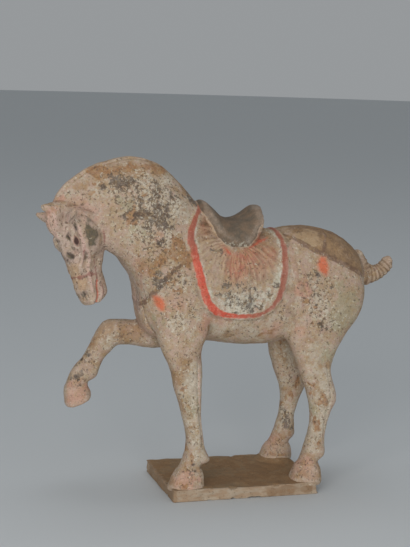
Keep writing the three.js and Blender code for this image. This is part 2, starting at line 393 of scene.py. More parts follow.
def hind_leg(y, side, shift, lift):
    """From the haunch to the sole. The foot stands `shift` along the horse, on a pad `lift` high."""
    return [
        ((70, 246), (122, 242), y - side * 22, 13),
        ((52, 212), (139, 210), y - side * 15, 27),
        ((47, 186), (128, 190), y - side * 12, 25),
        ((47, 168), (112, 168), y - side * 8, 21),
        ((53 + shift / 2, 150), (100, 150), y - side * 4, 17),
        ((60 + shift, 132), (95 + shift, 131), y, 14),
        ((66 + shift, 115), (100 + shift, 114), y, 12.5),
        ((71 + shift, 101), (103 + shift, 99), y, 11.5),
        ((74 + shift, 84), (96 + shift, 83), y, 10),
        ((73 + shift, 66), (91 + shift, 65), y, 9.5),
        ((69 + shift, 51), (91 + shift, 50), y, 11),
        ((66 + shift, 41), (91.5 + shift, 39), y, 11.5),
        ((62.5 + shift, 33), (84 + shift, 32), y, 10),
        ((58 + shift, 24 + lift / 2), (87 + shift, 24 + lift / 2), y, 14),
        ((54 + shift, SOLE + lift), (88 + shift, SOLE + lift), y, 17),
        ((52.5 + shift, SOLE + lift - 4), (88 + shift, SOLE + lift - 4), y, 18),
    ]


def raised_foreleg(y):
    """Forearm level, cannon and hoof hanging back down."""
    return [
        ((-56, 190), (-50, 154), y - 8, 18),
        ((-80, 180), (-76, 147), y - 2, 18),
        ((-98, 177), (-97, 148), y, 15.5),
        ((-118, 179), (-114, 151), y, 14),
        ((-134, 178), (-124, 150), y, 13),
        ((-144, 168), (-129, 145), y, 11.5),
        ((-152, 152), (-136, 138), y, 10),
        ((-160, 139), (-141, 128), y, 9.5),
        ((-170, 128), (-145, 117), y, 11),
        ((-176, 115), (-155, 111), y, 10.5),
        ((-179, 103), (-151, 102), y, 13),
        ((-177, 85), (-151, 94), y, 15),
    ]


SKULL = [
    ((-8, 8), (-2, -14), 0, 11),
    ((0, 14), (4, -24), 0, 17),
    ((12, 18), (14, -30), 0, 18.5),
    ((26, 20), (28, -35), 0, 18.5),
    ((40, 20), (41, -34), 0, 16.5),
    ((52, 16.5), (53, -26), 0, 14),
    ((66, 14.5), (66, -19.5), 0, 12.5),
    ((80, 13.5), (80, -21), 0, 12.5),
    ((91, 10.5), (90, -20), 0, 13),
    ((98, 6), (96, -12), 0, 10.5),
]
FORELOCK = [
    ((-10, 24), (-6, 10), -2, 6),
    ((-2, 28), (0, 12), -2.5, 8),
    ((9, 28), (10, 12), -3, 8),
    ((18, 24.5), (18, 12), -3, 7),
    ((26, 20.5), (26, 13), -2.5, 4.5),
]
TUFT = [
    ((-12, -2), (4, -2), -1, 7),
    ((-14, 16), (0, 16), -2, 7),
    ((-16, 31), (-9, 30), -3, 3.5),
]
CHEEKS_AND_EYES = [
    ((29, 11, -14), (18, 9, 16)),
    ((24, 12, -7), (25, 12, 18)),
    ((29, 12.4, 11.6), (12, 5, 6.4)),
    ((27.5, 14.5, 13.2), (4.6, 3.2, 3)),
    ((19, 11.5, 9.5), (14, 5.5, 7)),
]
EAR = [
    ((0, 5.0), (0, -5.0), 0, 4),
    ((7, 5.6), (7, -5.6), 0, 3.6),
    ((14, 5.2), (14, -5.2), 0, 3.2),
    ((20, 4.0), (20, -4.0), 0, 2.6),
    ((25.5, 1.6), (25.5, -1.6), 0, 1.4),
]
EAR_ROOT = Vector((7, 8, 12))  # in the head's frame, for the left ear
EAR_TIPS = {1: Vector((-6, 29, 19)), -1: Vector((-5, -33, 18))}
EAR_TURNS = {1: -10, -1: 26}  # degrees
SADDLE_SEAT = [
    ((-48, 304), (-31, 258), 0, 30),
    ((-43, 310), (-28, 258), 0, 33),
    ((-36, 306), (-25, 256), 0, 36),
    ((-23, 294), (-18, 250), 0, 38),
    ((-9, 290), (-9, 250), 0, 39),
    ((4, 295), (1, 250), 0, 38),
    ((14, 303), (7, 254), 0, 35),
    ((22, 303), (12, 262), 0, 32),
]


def head_axes():
    """Down the face, to the horse's left and out of the forehead, in the horse's frame."""
    turn = math.radians(HEAD_TURN)
    forward = Vector((-math.cos(turn), -math.sin(turn), 0))
    left = Vector((math.sin(turn), -math.cos(turn), 0))
    face = Vector((0, 0, -1)) - forward * math.tan(math.radians(HEAD_TUCK))
    face = (face + left * math.tan(math.radians(HEAD_ROLL))).normalized()
    brow = face.cross(left).normalized()
    return face, brow.cross(face), brow


HEAD_AXES = np.array([tuple(axis) for axis in head_axes()])
HEAD_FRAME = Matrix.Translation(POLL * MM) @ Matrix(HEAD_AXES.T).to_4x4()


def to_head(points):
    """Places in the head's own frame: along the face, to its left, out of the forehead."""
    return (points - np.array(POLL)) @ HEAD_AXES.T


def left_half(local):
    """The head's places as if all lay on its left."""
    return np.column_stack([local[:, 0], abs(local[:, 1]), local[:, 2]])


def from_head(rows):
    """Rows of (along, left, out, half-width) as rows of (x, y, z, half-width)."""
    rows = np.array(rows, float)
    rows[:, :3] = rows[:, :3] @ HEAD_AXES + np.array(POLL)
    return rows


def head_line(tree, knots):
    """A line drawn on the head and laid onto the clay, in the head's own frame."""
    rows = on_surface(tree, from_head(smooth_through(knots, 6)))
    rows[:, :3] = to_head(rows[:, :3])
    return rows


def ear_frame(side):
    """The ear's frame in the head's: X from root to tip, Y through its thickness."""
    root = Vector((EAR_ROOT.x, side * EAR_ROOT.y, EAR_ROOT.z)) * MM
    tip = EAR_TIPS[side] * MM
    up = (tip - root).normalized()
    out = Vector((0, 0, 1))
    through = (out - up * out.dot(up)).normalized()
    through.rotate(Quaternion(up, math.radians(EAR_TURNS[side])))
    across = up.cross(through)
    turned = Matrix((up, through, across)).transposed().to_4x4()
    return Matrix.Translation(root) @ turned


def rough_horse():
    """The body's masses in one lump, without the small parts."""
    bm = bmesh.new()
    add_skin(bm, TRUNK, power=2.3, segments=56)
    add_skin(bm, NECK, power=2.2, taper=-0.35, segments=56)
    add_skin(bm, standing_foreleg(-FORE_STANCE), power=2.4)
    add_skin(bm, raised_foreleg(RAISED_LEG_Y), power=2.3)
    add_skin(bm, hind_leg(-HIND_STANCE, -1, 0, 0), power=2.4)
    add_skin(bm, hind_leg(HIND_STANCE, 1, RIGHT_HIND_SHIFT, PAD_HEIGHT), power=2.4)
    return mesh_of(bm, "masses")


def small_parts(bm):
    """The head, ears, forelock, tail and saddle seat, which meet the body with sharper corners."""
    add_skin(bm, TAIL)
    add_skin(bm, SADDLE_SEAT, power=2.1, segments=56)
    add_skin(bm, SKULL, power=2.4, taper=-0.08, segments=56, frame_of_skin=HEAD_FRAME)
    add_skin(bm, FORELOCK, frame_of_skin=HEAD_FRAME)
    add_skin(bm, TUFT, frame_of_skin=HEAD_FRAME)
    for side in (-1, 1):
        for (down, left, out), radii in CHEEKS_AND_EYES:
            add_ball(bm, (down, side * left, out), radii, HEAD_FRAME)
        add_skin(bm, EAR, frame_of_skin=HEAD_FRAME @ ear_frame(side))


# Drawn lines on the left flank, mirrored to the right one. Outlines are (x, z) or (x, z, half-width),
# and lines are (x, y, z, half-width).

BAND = [
    (-47, 304, 2.4), (-57, 291, 3.1), (-62.5, 278, 3.6), (-60.5, 263, 3.9), (-57, 246, 4.0),
    (-52, 228, 4.1), (-46, 211, 4.1), (-37, 200, 3.7), (-23, 194.5, 2.8), (-6, 193.5, 2.2),
    (8, 194.5, 2.1), (21, 200, 2.3), (30.5, 211, 2.8), (35.5, 228, 3.3), (38, 247, 3.4), (39, 261, 3.0),
    (38, 275, 2.4), (30, 296, 2), (-10, 312, 2), (-36, 312, 2),
]
SADDLE = [
    (-48, 305), (-43, 314), (-36, 312), (-23, 304), (-9, 300), (4, 304), (15, 309), (25, 306),
    (21, 292), (11, 283), (7.5, 274), (0, 266.5), (-14, 264.5), (-25, 268), (-33, 277), (-40, 290),
]
PLEAT_CENTRE = (-15, 268)
STRAPS = [
    [(-57, -42, 258, 2.0), (-63, -43, 254, 2.3), (-79, -46, 245, 2.3), (-87, -46, 238, 2.3),
     (-94, -45, 229, 2.3), (-101, -38, 218, 2.7), (-106, -30, 210, 2.9), (-108, -20, 205, 2.6),
     (-110, 8, 199, 2.2)],
    [(42, -20, 276, 1.8), (58, -33, 268.5, 2.5), (69, -39, 262.5, 2.8), (82, -42, 256.5, 2.8),
     (95, -42, 250.5, 2.8), (109, -41, 243.5, 2.8), (129, -33, 232, 2.4)],
    [(90, -14, 277, 1.4), (88, -28, 272, 1.6), (84, -36, 264, 1.6), (80, -42, 254, 1.6)],
    [(52, -12, 284, 1.4), (78, -12, 281, 1.6), (104, -12, 272, 1.6), (126, -8, 258, 1.4)],
]
RIBBONS = [
    [(-110, -3, 200, 1.5), (-108, -6, 186, 1.5), (-102, -15, 175, 1.5), (-97, -25, 172, 1.6),
     (-94, -42, 172, 1.4)],
    [(46, -36, 263, 2.2), (49, -46, 241, 2.4), (54, -48, 220, 2.4), (59, -47, 203, 1.6)],
    [(55, -44, 249, 1.6), (62, -47, 228, 1.8), (68, -48, 209, 1.2)],
    [(-113, -36, 249, 1.8), (-112, -31, 238, 2), (-111, -25, 226, 1.5)],
]
TASSELS = [
    [(-98, -40, 212, 4.8), (-96, -41, 209, 5.8), (-94, -43, 206, 4.6), (-92, -44, 203, 2.0)],
    [(80, -44, 249, 4.6), (80, -45, 245, 6.2), (81.5, -46, 240, 4.6), (83, -46, 236, 2.0)],
]
SHOULDER_CREASE = [(-110, -20, 206, 1), (-107, -24, 190, 1.6), (-100, -25, 178, 1.6), (-94, -32, 172, 1)]


def flank(points):
    """The points as if all lay on the horse's left."""
    return np.column_stack([points[:, 0], -abs(points[:, 1]), points[:, 2]])


def outline_of(knots):
    """The closed outline (x, z) through knots whose first two numbers are x and z."""
    return smooth_through(np.array(knots)[:, :2], 6, closed=True)


def cloth_and_flaps(clay, settings):
    """Raises the saddle cloth and, on it, the saddle's flaps."""
    x, z = clay.points[:, 0], clay.points[:, 2]
    band = inside_outline(x, z, outline_of(BAND))
    saddle = inside_outline(x, z, outline_of(SADDLE))
    cloth = soft_step(band, -5.0, -3.4)
    flap = soft_step(saddle, -0.4, 1.6)
    roll = dab(clay.points, (24, 0, 282), (9, 34, 14))
    cloth_height, flap_height = settings.cloth_height / MM, settings.flap_height / MM
    clay.push(cloth * cloth_height + flap * flap_height + roll * 3.5)


def melt_saddle(clay):
    """Softens the saddle's seat into its flaps and leaves its edges."""
    points = flank(clay.points)
    depth = inside_outline(points[:, 0], points[:, 2], outline_of(SADDLE))
    clay.smooth(30, soft_step(depth, 1.5, 6.0) * (points[:, 1] < -14))
    clay.smooth(10, soft_step(depth, -3.0, -1.0) * soft_step(-points[:, 0], 16, 24) * (points[:, 2] > 258))


SOFT_MASSES = [
    ((100, -50, 222), (75, 60, 62), 1.0),
    ((-80, -46, 222), (62, 60, 60), 1.0),
    ((-60, -20, 300), (60, 80, 60), 1.0),
    ((142, -10, 214), (24, 60, 40), 0.5),
]


def shape_body(voxel):
    """The masses in one skin, with soft shoulders and haunches and round inner corners."""
    coarse = voxel * 1.8
    clay = Clay(remeshed(rough_horse(), coarse, "masses"))
    clay.fill_hollows(rounds=24, radius=12, spacing=coarse)
    points = flank(clay.points)
    melt = sum(weight * dab(points, centre, radii) for centre, radii, weight in SOFT_MASSES)
    clay.smooth(150, np.clip(1.6 * melt, 0, 1))
    clay.fill_hollows(rounds=12, radius=14, spacing=coarse)
    clay.smooth(3)
    clay.store()
    return subdivided(clay.mesh, "masses")


# Rows are (down the face, to its left, out of the forehead, half-width), then softness and height
HEAD_LINES = [
    ([(14, 17.6, 7.5, 0.8), (21, 18.2, 9, 1.2), (29, 18.8, 9.2, 1.3), (38, 16.6, 7.5, 1.2),
      (47, 13.2, 9, 1.2), (54, 9.7, 11.7, 1.1), (61, 7.4, 12.4, 0.6)], 1.7, 1.3),
    ([(32, 20, 6, 0.8), (38, 18.5, 5, 1.2), (49, 14.9, 1.6, 1.3), (57, 12.4, 3.6, 1.3), (64, 11.3, 4, 1.2),
      (72, 11.6, 4, 1.2), (84, 11.9, 5.5, 0.8)], 1.7, 1.4),
    ([(7, 16.5, 14, 0.8), (13, 14.2, 11, 1.0), (19, 14.8, 10.9, 0.8), (23, 16, 11.3, 0.4)], 1.6, -0.8),
    ([(20, 9, 17, 1.0), (22, 13, 17, 1.6), (26, 14, 19, 1.0)], 1.6, 0.9),
    ([(22.5, 15.6, 15.8, 0.4), (24.5, 15.2, 17.6, 0.6), (29, 15.4, 18, 0.6), (33, 16.4, 15.6, 0.4)],
     0.9, 0.9),
    ([(22.5, 15.6, 15.8, 0.4), (24.5, 17.8, 13.2, 0.6), (29, 18.2, 12.8, 0.6), (33, 16.4, 15.6, 0.4)],
     0.9, 0.9),
    ([(74, 12.8, -3.5, 0.4), (79, 11.9, -1.9, 0.6), (87, 11.4, -0.7, 0.6), (93, 10.1, 0.9, 0.6),
      (98, 6, 1.5, 0.5), (100, 0, 1.5, 0.5)], 1.2, -1.5),
    ([(79, 13.5, -6.3, 1.3), (84, 13.6, -6.3, 1.6), (90, 13.6, -4.6, 1.6), (95, 11, -3.2, 1.4),
      (98, 0, -3, 1.2)], 1.6, 0.9),
    ([(80, 12, 3, 1.2), (90, 11, 4, 1.4), (96, 6, 5, 1.2), (97, 0, 5, 1.2)], 1.8, 0.6),
    ([(65, 2, 14.4, 0.8), (66, 6.5, 12.6, 0.8), (66, 10, 7.3, 0.8), (66, 12.4, 2.8, 0.8),
      (67, 12.7, -3.4, 0.8), (69, 13, -9, 0.8)], 1.0, 0.4),
    ([(81, 7, 13, 0.8), (85, 8.5, 11, 1.0), (87, 7, 11, 0.8)], 1.4, -1.8),
    ([(-1, 14.4, 2.8, 1.2), (3, 17.8, -5.7, 1.8), (10, 20.9, -12.8, 2.0), (20, 24.1, -15.9, 2.0),
      (29, 24.3, -17, 2.0), (38, 21.3, -17.8, 1.6), (46, 17, -15, 1.0)], 1.6, 0.9),
    ([(3, 16.5, 1.9, 0.8), (6, 20.1, -4.1, 1.0), (12, 22.1, -8.4, 1.0), (20, 23.2, -11.6, 0.8)], 1.6, -0.6),
    ([(10, 12.8, 17.5, 0.3), (6, 17.6, 17.5, 0.4), (1, 23.8, 17.5, 0.4), (-2, 27, 18.5, 0.2)], 0.8, -1.0),
]
HEAD_DABS = [
    ((48, 14, 5), (17, 7, 5), -1.4),
    ((66, 11, 7), (18, 6, 5), -1.0),
    ((40, 12, 15), (9, 6, 6), -1.3),
    ((56, 13, -8), (12, 8, 8), -1.2),
    ((83, 5, 13), (9, 6, 6), 0.8),
    ((2, 0, 29), (7, 9, 8), 1.2),
    ((13, 0, 29), (6, 8, 8), 1.0),
    ((22, 0, 25), (6, 7, 8), 1.3),
    ((37, 0, 20), (8, 8, 6), 0.7),
]


def sculpt_head(clay):
    """Eyes and lids, brow, cheek ridges, nostrils, mouth, ears and forelock."""
    tree = clay.surface()
    local = to_head(clay.points)
    both = left_half(local)
    reached = (local[:, 0] < HEAD_REACH) * (np.linalg.norm(local, axis=1) < HEAD_REACH)
    head = soft_step(both[:, 0], -20, -12) * reached
    raised = np.zeros(len(local))
    for knots, soft, height in HEAD_LINES:
        raised += height * soft_step(inside_line(both, head_line(tree, knots)), -soft, soft * 0.5)
    for centre, radii, height in HEAD_DABS:
        raised += height * dab(both, centre, radii)
    locks = np.sin(local[:, 1] * 1.7 + 0.14 * both[:, 0])
    raised += 0.8 * locks * dab(both, (10, 0, 28), (24, 16, 14))
    clay.push(raised * head)
    clay.smooth(1, 0.6 * head)


TENDONS = [
    [(-56, -54, 146, 0.4), (-55, -52, 124, 0.8), (-54, -50, 106, 0.9), (-49, -47, 76, 1.0),
     (-47, -48, 56, 0.6)],
    [(86, -51, 140, 0.3), (93, -51, 109, 0.6), (91, -51, 95, 0.8), (88, -48, 76, 0.8), (87, -47, 54, 0.6)],
]
BODY_DABS = [
    ((-112, 0, 214), (12, 9, 40), -1.6),
    ((-103, -20, 214), (18, 18, 26), 1.2),
    ((48, -46, 195), (9, 20, 34), -1.4),
    ((-40, -46, 205), (8, 20, 30), -0.8),
    ((124, -38, 186), (18, 24, 26), 1.8),
]


def sculpt_body(clay, settings):
    """Crest, shoulder crease, tail wraps, tendons, hooves, pleats and the hand's unevenness."""
    tree = clay.surface()
    points = flank(clay.points)
    x, z = points[:, 0], points[:, 2]

    def ridge(line, low, high):
        """1 on a line laid onto the clay, 0 beyond its soft edge."""
        return soft_step(inside_line(points, on_surface(tree, smooth_through(line, 5))), low, high)

    crest = smooth_through([(outer[0], y, outer[1], 3.6) for outer, _, y, _ in NECK[:9]], 6)
    edge = inside_line(clay.points, on_surface(tree, crest))
    groove = np.exp(-((edge + 1.6) / 1.0) ** 2)
    raised = soft_step(-x, 60, 120) * (0.6 * soft_step(edge, -0.8, 0.6) - 0.5 * groove)
    crease = on_surface(tree, smooth_through(SHOULDER_CREASE, 6))
    raised -= 1.0 * soft_step(inside_line(points, crease), -2.0, 0.5)
    for line in STRAPS + RIBBONS[1:3]:
        raised += 0.35 * ridge(line, -0.9, 0.5)
    for line in TENDONS:
        raised -= 0.8 * ridge(line, -1.6, 0.6)
    for centre, radii, height in BODY_DABS:
        raised += height * dab(points, centre, radii)
    raised += pleats(points) * settings.pleat_depth / MM
    raised += tail_wraps(points) * settings.wrap_depth / MM
    raised += 0.6 * (soft_step(HOOF_TOP - z, 0, 2) * (x > -140) + raised_hoof(clay.points))
    raised += 0.40 * waves(clay.points, 34, 3) + 0.14 * waves(clay.points, 11, 4)
    raised += 0.07 * waves(clay.points, 4.5, 5)
    clay.push(raised)


def tail_wraps(points):
    """The turns of cord round the tail, 1 on each turn and -1 between two."""
    knots = [((outer[0] + inner[0]) / 2, y, (outer[1] + inner[1]) / 2) for outer, inner, y, _ in TAIL]
    bound = soft_step(points[:, 0], 141, 147) * (points[:, 2] > 205)
    along = length_along(points, smooth_through(knots, 4))
    return bound * np.sin(along * 2 * math.pi / WRAP_PITCH)


def raised_hoof(points):
    """1 on the raised foreleg's hoof."""
    below = RAISED_HOOF_TOP - points[:, 2] + 0.15 * (points[:, 0] + 165)
    return soft_step(below, 0, 2) * (points[:, 0] < -145) * (points[:, 2] < 125) * (points[:, 1] > 5)


def pleat_fan(points):
    """Angle round the pleats' gathering point, distance from it and how strongly they show."""
    x, z = points[:, 0] - PLEAT_CENTRE[0], points[:, 2] - PLEAT_CENTRE[1]
    away = np.hypot(x, z)
    angle = np.arctan2(x, -z) + 0.012 * away * np.sign(x)
    outline = inside_outline(points[:, 0], points[:, 2], outline_of(BAND))
    shown = soft_step(away, 5, 12) * soft_step(-away, -58, -44) * soft_step(outline, 5, 9)
    saddle = inside_outline(points[:, 0], points[:, 2], outline_of(SADDLE))
    return angle, away, shown * soft_step(-saddle, 0.5, 2.5) * soft_step(points[:, 2], 206, 222)


def pleat_phase(angle, away):
    """Rises by a full turn from one pleat to the next."""
    return PLEATS_IN_CIRCLE * angle + 2.0 * np.sin(4 * angle + 1) + 0.05 * away


def pleats(points):
    """The carved pleats, 1 on each ridge and -1 in each fold."""
    angle, away, shown = pleat_fan(points)
    return shown * np.sin(pleat_phase(angle, away))


def smooth_shaded(mesh):
    """Shades the mesh without showing its faces."""
    mesh.polygons.foreach_set("use_smooth", [True] * len(mesh.polygons))
    mesh.update()


def model_horse(settings):
    """The whole horse in one skin of clay."""
    voxel = settings.grain / MM
    clay = Clay(shape_body(voxel))
    cloth_and_flaps(clay, settings)
    clay.store()
    bm = bmesh.new()
    small_parts(bm)
    bmesh.ops.recalc_face_normals(bm, faces=bm.faces)
    bm.from_mesh(clay.mesh)
    whole = bpy.data.meshes.new("whole")
    bm.to_mesh(whole)
    bm.free()
    clay = Clay(remeshed(whole, voxel, "whole"))
    clay.smooth(2)
    melt_saddle(clay)
    sculpt_body(clay, settings)
    sculpt_head(clay)
    clay.store()
    mesh = thinned(clay.mesh, settings.triangles, "horse_clay")
    smooth_shaded(mesh)
    return mesh


# Paint: soft fields on the mesh's points, which the materials break up. Dabs and dots on the body
# are (x, y, z, radius), and dabs on the head (centre, radii, weight) in the head's frame. Lines
# are rows of (x, y, z, half width). All of them are given for the left side and mirrored.

EARTH = [
    (-140, -17, 341, 15), (-118, -17, 341, 10), (-91, -12, 343, 12), (-62, -12, 320, 10),
    (-156, -14, 338, 11), (-107, -42, 244, 12), (-92, -45, 252, 9), (-70, -44, 256, 10),
    (-145, 20, 170, 12), (-150, 24, 153, 9), (58, -45, 206, 7), (-40, -46, 172, 7), (20, -40, 168, 9),
    (-71, -55, 141, 9), (-79, -45, 129, 9), (-80, -45, 266, 12), (-108, 18, 166, 12),
    (-176, -16, 325, 6), (65, 27, 128, 9), (72, 32, 88, 8), (-69, -49, 105, 8), (-66, -48, 92, 8),
    (-61, -48, 75, 7), (-68, -56, 150, 8), (-62, -50, 38, 7), (82, -51, 104, 8), (77, -48, 72, 7),
    (81, -50, 54, 7), (71, -49, 38, 8), (70, -49, 114, 7), (84, -53, 140, 8), (64, -51, 166, 9),
    (79, 28, 104, 8), (68, 38, 77, 6), (64, 23, 142, 8), (-140, 20, 172, 10), (-122, 18, 160, 9),
    (-38, -46, 172, 8), (-15, -40, 168, 8), (72, 32, 44, 7), (66, 40, 16, 10), (-78, -46, 18, 8),
    (62, -52, 22, 8), (84, -48, 22, 7), (-90, -40, 150, 6),
]
RUST = [
    (-160, -13, 341, 8), (-148, -15, 343, 5), (-136, -15, 344, 6), (-118, -15, 344, 6),
    (-105, -14, 345, 6), (-89, -10, 343, 7), (-122, -32, 303, 6), (-124, -33, 295, 6),
    (-117, -35, 292, 5), (-78, -41, 271, 5), (-87, -44, 264, 5), (-71, -42, 262, 6),
    (-108, -29, 316, 3), (-162, -19, 325, 3.5), (-95, -44, 250, 6), (-106, -39, 236, 6),
    (-80, -47, 222, 4), (-74, -47, 221, 4), (-65, -43, 253, 5), (-87, -46, 236, 3.5),
    (-78, -44, 255, 4), (-118, -34, 256, 3), (78, 29, 89, 4.6), (-150, 24, 158, 4), (67, -50, 186, 3.5),
    (58, -45, 206, 5), (60, -48, 211, 3), (22, -42, 170, 6), (-128, -29, 301, 4), (-116, -33, 297, 5),
    (69, -47, 115, 4), (82, -51, 103, 4.6), (78, -49, 72, 4), (77, -48, 78, 3.6), (79, -50, 54, 3),
    (70, -48, 41, 3), (81, 28, 101, 3.6), (68, 40, 77, 3), (71, 26, 131, 4), (64, 22, 144, 3),
    (59, 43, 38, 3), (66, 31, 40, 3), (76, 30, 41, 3), (50, 34, 21, 3.4), (58, 26, 21, 3.4),
    (66, 24, 21, 3.4), (-63, -45, 51, 3.4), (-58, -50, 46, 3), (-69, -52, 19, 3), (-52, -53, 21, 3),
    (72, -50, 202, 3), (62, -49, 178, 3), (-66, -50, 118, 3.4), (-67, -48, 96, 3),
]
SOOT = [
    (-141, -22, 327, 6.9), (-131, -21, 334, 5.6), (-126, -23, 331, 5), (-136, -24, 324, 4.4),
    (-99, -20, 334, 4.4), (-99, -24, 326, 6.9), (-101, -27, 321, 4.4), (-116, -24, 324, 3.8),
    (-116, -30, 314, 4.4), (-92, -25, 322, 4.4), (-57, -14, 311, 7.5), (-52, -11, 308, 6.2),
    (-95, -30, 309, 5.6), (-132, -31, 298, 5), (-112, -34, 299, 6.9), (-105, -36, 295, 8.1),
    (-99, -33, 302, 5), (-93, -35, 296, 6.2), (-83, -38, 283, 4.4), (-99, -42, 272, 3.8),
    (-153, -22, 319, 3.1), (-150, -25, 309, 3.1), (-143, -20, 332, 3.8), (-148, -18, 337, 4.4),
    (-91, -37, 288, 4.4), (-109, -38, 284, 3.8), (-77, -23, 317, 3.8), (-97, -44, 235, 6.2),
    (-94, -45, 231, 5.6), (-99, -42, 228, 4.4), (-158, 24, 140, 5.4), (-167, 20, 119, 5.4),
    (78, -53, 181, 3.8), (-29, -50, 223, 3.0), (-34, -50, 215, 2.6), (-13, -50, 220, 3.0),
    (1, -50, 216, 4.4), (16, -50, 217, 5), (20, -50, 213, 5), (-1, -49, 210, 5), (-5, -49, 206, 5),
    (2, -49, 201, 5.6), (-15, -49, 203, 4.4), (-25, -48, 203, 4.4), (8, -49, 202, 4.4),
    (-16, -50, 227, 1.8), (-8, -50, 229, 1.6), (27, -49, 227, 3.1), (4, -49, 222, 3.1),
    (-22, -49, 212, 3.8), (-10, -50, 211, 3.8), (10, -49, 207, 3.8), (-33, -43, 260, 3.8),
    (-39, -40, 262, 3.8), (74, 31, 67, 3.0), (75, 31, 60, 3.4), (76, 30, 54, 2.8), (73, -48, 232, 3.8),
    (88, -48, 224, 3.1), (62, -48, 224, 3.1),
]
PEPPER = [
    (-125, -25, 325, 24), (-105, -33, 300, 26), (-90, -30, 320, 22), (-100, -42, 265, 18),
    (-75, -46, 230, 18), (-80, -50, 200, 20), (-68, -52, 150, 18), (-64, -50, 100, 22),
    (-58, -48, 60, 16), (72, -48, 222, 20), (75, -50, 200, 20), (82, -52, 180, 16), (84, -50, 96, 9),
    (76, -48, 55, 8), (70, -53, 22, 16), (64, 28, 26, 15), (-62, -52, 24, 14), (-158, 24, 140, 18),
    (-166, 20, 115, 14), (-10, -50, 210, 24), (-5, -44, 176, 20), (68, 30, 110, 24), (72, 32, 60, 16),
    (-120, 18, 165, 16), (35, -46, 190, 14), (-52, -12, 306, 12),
]
WHITE = [
    (-120, -22, 334, 10), (-105, -22, 330, 14), (-84, -18, 328, 14), (-110, -30, 312, 14),
    (-90, -30, 308, 16), (-74, -28, 300, 14), (-105, -38, 284, 12), (-157, -18, 332, 6),
    (-122, -35, 280, 8), (-88, -38, 276, 10), (-62, -48, 134, 14), (-58, -50, 110, 16),
    (-55, -50, 80, 16), (-52, -48, 56, 12), (86, -52, 118, 14), (88, -50, 100, 12), (84, -50, 76, 14),
    (80, -50, 54, 8), (-8, -48, 212, 24), (31, -48, 238, 8), (-44, -49, 222, 7), (76, -50, 205, 14),
    (90, -50, 190, 14), (-128, 22, 160, 12), (-156, 24, 146, 8), (-75, -48, 228, 12),
    (-80, -50, 190, 12), (72, 30, 70, 14), (66, 26, 136, 10), (30, -18, 278, 9), (64, -33, 268, 5),
    (-18, -45, 190, 12),
]
SLIP = [
    (84, -50, 150, 20), (80, -50, 128, 18), (80, -46, 96, 16), (78, -48, 62, 12), (66, 28, 136, 20),
    (66, 30, 96, 14), (70, 33, 58, 12), (-60, -50, 112, 16), (-56, -48, 84, 14), (-62, -52, 136, 14),
    (-34, -46, 176, 14), (-8, -46, 172, 16), (18, -46, 172, 14), (40, -46, 176, 10),
]
BLUSH = [
    (-66, -45, 20, 16), (70, -48, 20, 14), (62, 40, 24, 18), (-166, 22, 96, 14), (-168, 24, 101, 13),
    (-160, 20, 106, 8), (-62, -52, 24, 10), (-205, -20, 292, 16), (-197, -14, 304, 14),
    (-112, -30, 244, 12), (-30, -48, 188, 14), (-104, 8, 172, 18), (-176, -22, 300, 14),
    (-80, -47, 205, 14), (30, -40, 176, 16), (-178, -25, 262, 14), (-207, -36, 296, 10),
    (58, -46, 222, 8), (-49, -49, 183, 9), (-45, -47, 190, 8), (-158, -22, 300, 9), (-62, -44, 246, 7),
    (56, -48, 218, 7), (-110, -6, 205, 12), (56, -50, 180, 7), (-100, -40, 280, 8), (-112, -22, 226, 8),
]
# Green-grey stains. The rows on the back of the hind thigh, x about 96 to 112, also darken that edge as
# painted shade.
MOSS_AND_SHADE = [
    (-125, -29, 313, 6), (-131, -30, 311, 5), (-118, -36, 284, 6), (-121, -35, 279, 5),
    (-80, -16, 338, 6), (-89, -46, 195, 6), (-89, -45, 208, 5), (-100, -34, 190, 8), (67, -31, 271, 6),
    (83, -26, 274, 5), (98, -47, 223, 9), (100, -50, 206, 10), (104, -46, 196, 16), (112, -42, 208, 14),
    (96, -50, 184, 12), (-45, -49, 226, 6), (-42, -49, 216, 5), (30, -47, 241, 5), (31, -49, 232, 6),
    (-46, -47, 243, 5), (-56, -38, 269, 5), (34, -12, 276, 5), (-60, -45, 100, 12), (88, -50, 150, 10),
    (-30, -48, 235, 5), (75, -50, 90, 10), (-21, -40, 271, 4), (-8, -40, 269, 4),
]
MARKS = [
    (-99, -42, 271, 2.2), (-114, -39, 272, 1.0), (-122, -36, 269, 0.8), (-77, -47, 237, 1.9),
    (-68, -46, 237, 1.2), (-71, -47, 229, 1.4), (-69, -47, 231, 1.2), (-63, -46, 234, 1.0),
    (-77, -48, 208, 1.1), (-68, -48, 212, 1.2), (-78, -54, 180, 1.4), (-52, -48, 201, 1.0),
    (-49, -50, 186, 1.2), (-113, -34, 242, 0.9), (-112, -11, 218, 0.9), (-60, -46, 238, 0.9),
    (-62, -50, 198, 0.9), (72, -50, 204, 1.3), (82, -52, 201, 1.0), (79, -52, 181, 2.0),
    (84, -51, 210, 1.0), (38, -47, 203, 1.2), (47, -47, 204, 1.0), (63, -49, 187, 1.2),
    (66, -48, 225, 1.2), (73, -47, 235, 1.3), (89, -48, 223, 1.3), (56, 30, 28, 0.9), (60, 25, 22, 0.6),
    (69, -54, 25, 0.8), (75, -55, 21, 0.9), (66, -53, 27, 0.7), (-154, 23, 142, 2.2),
    (-161, 28, 137, 2.2), (-169, 21, 120, 2.0), (-166, 20, 116, 1.5), (-162, 20, 122, 1.2),
    (-149, 21, 128, 1.3), (-119, 16, 164, 1.4), (-139, 21, 168, 1.6), (-56, -51, 31, 1.5),
    (-58, -50, 37, 1.7), (-66, -48, 35, 1.0), (-60, -48, 72, 1.0), (64, -53, 24, 1.0),
    (70, -54, 20, 0.8), (60, -48, 22, 0.8), (78, -52, 30, 0.9), (62, 32, 30, 0.8), (-60, -53, 22, 0.8),
    (60, -48, 211, 1.6), (76, -49, 76, 1.0), (79, -49, 78, 0.9), (-118, -34, 258, 0.8),
    (64, -48, 218, 1.0), (70, -48, 215, 1.1), (76, -49, 226, 1.0),
]
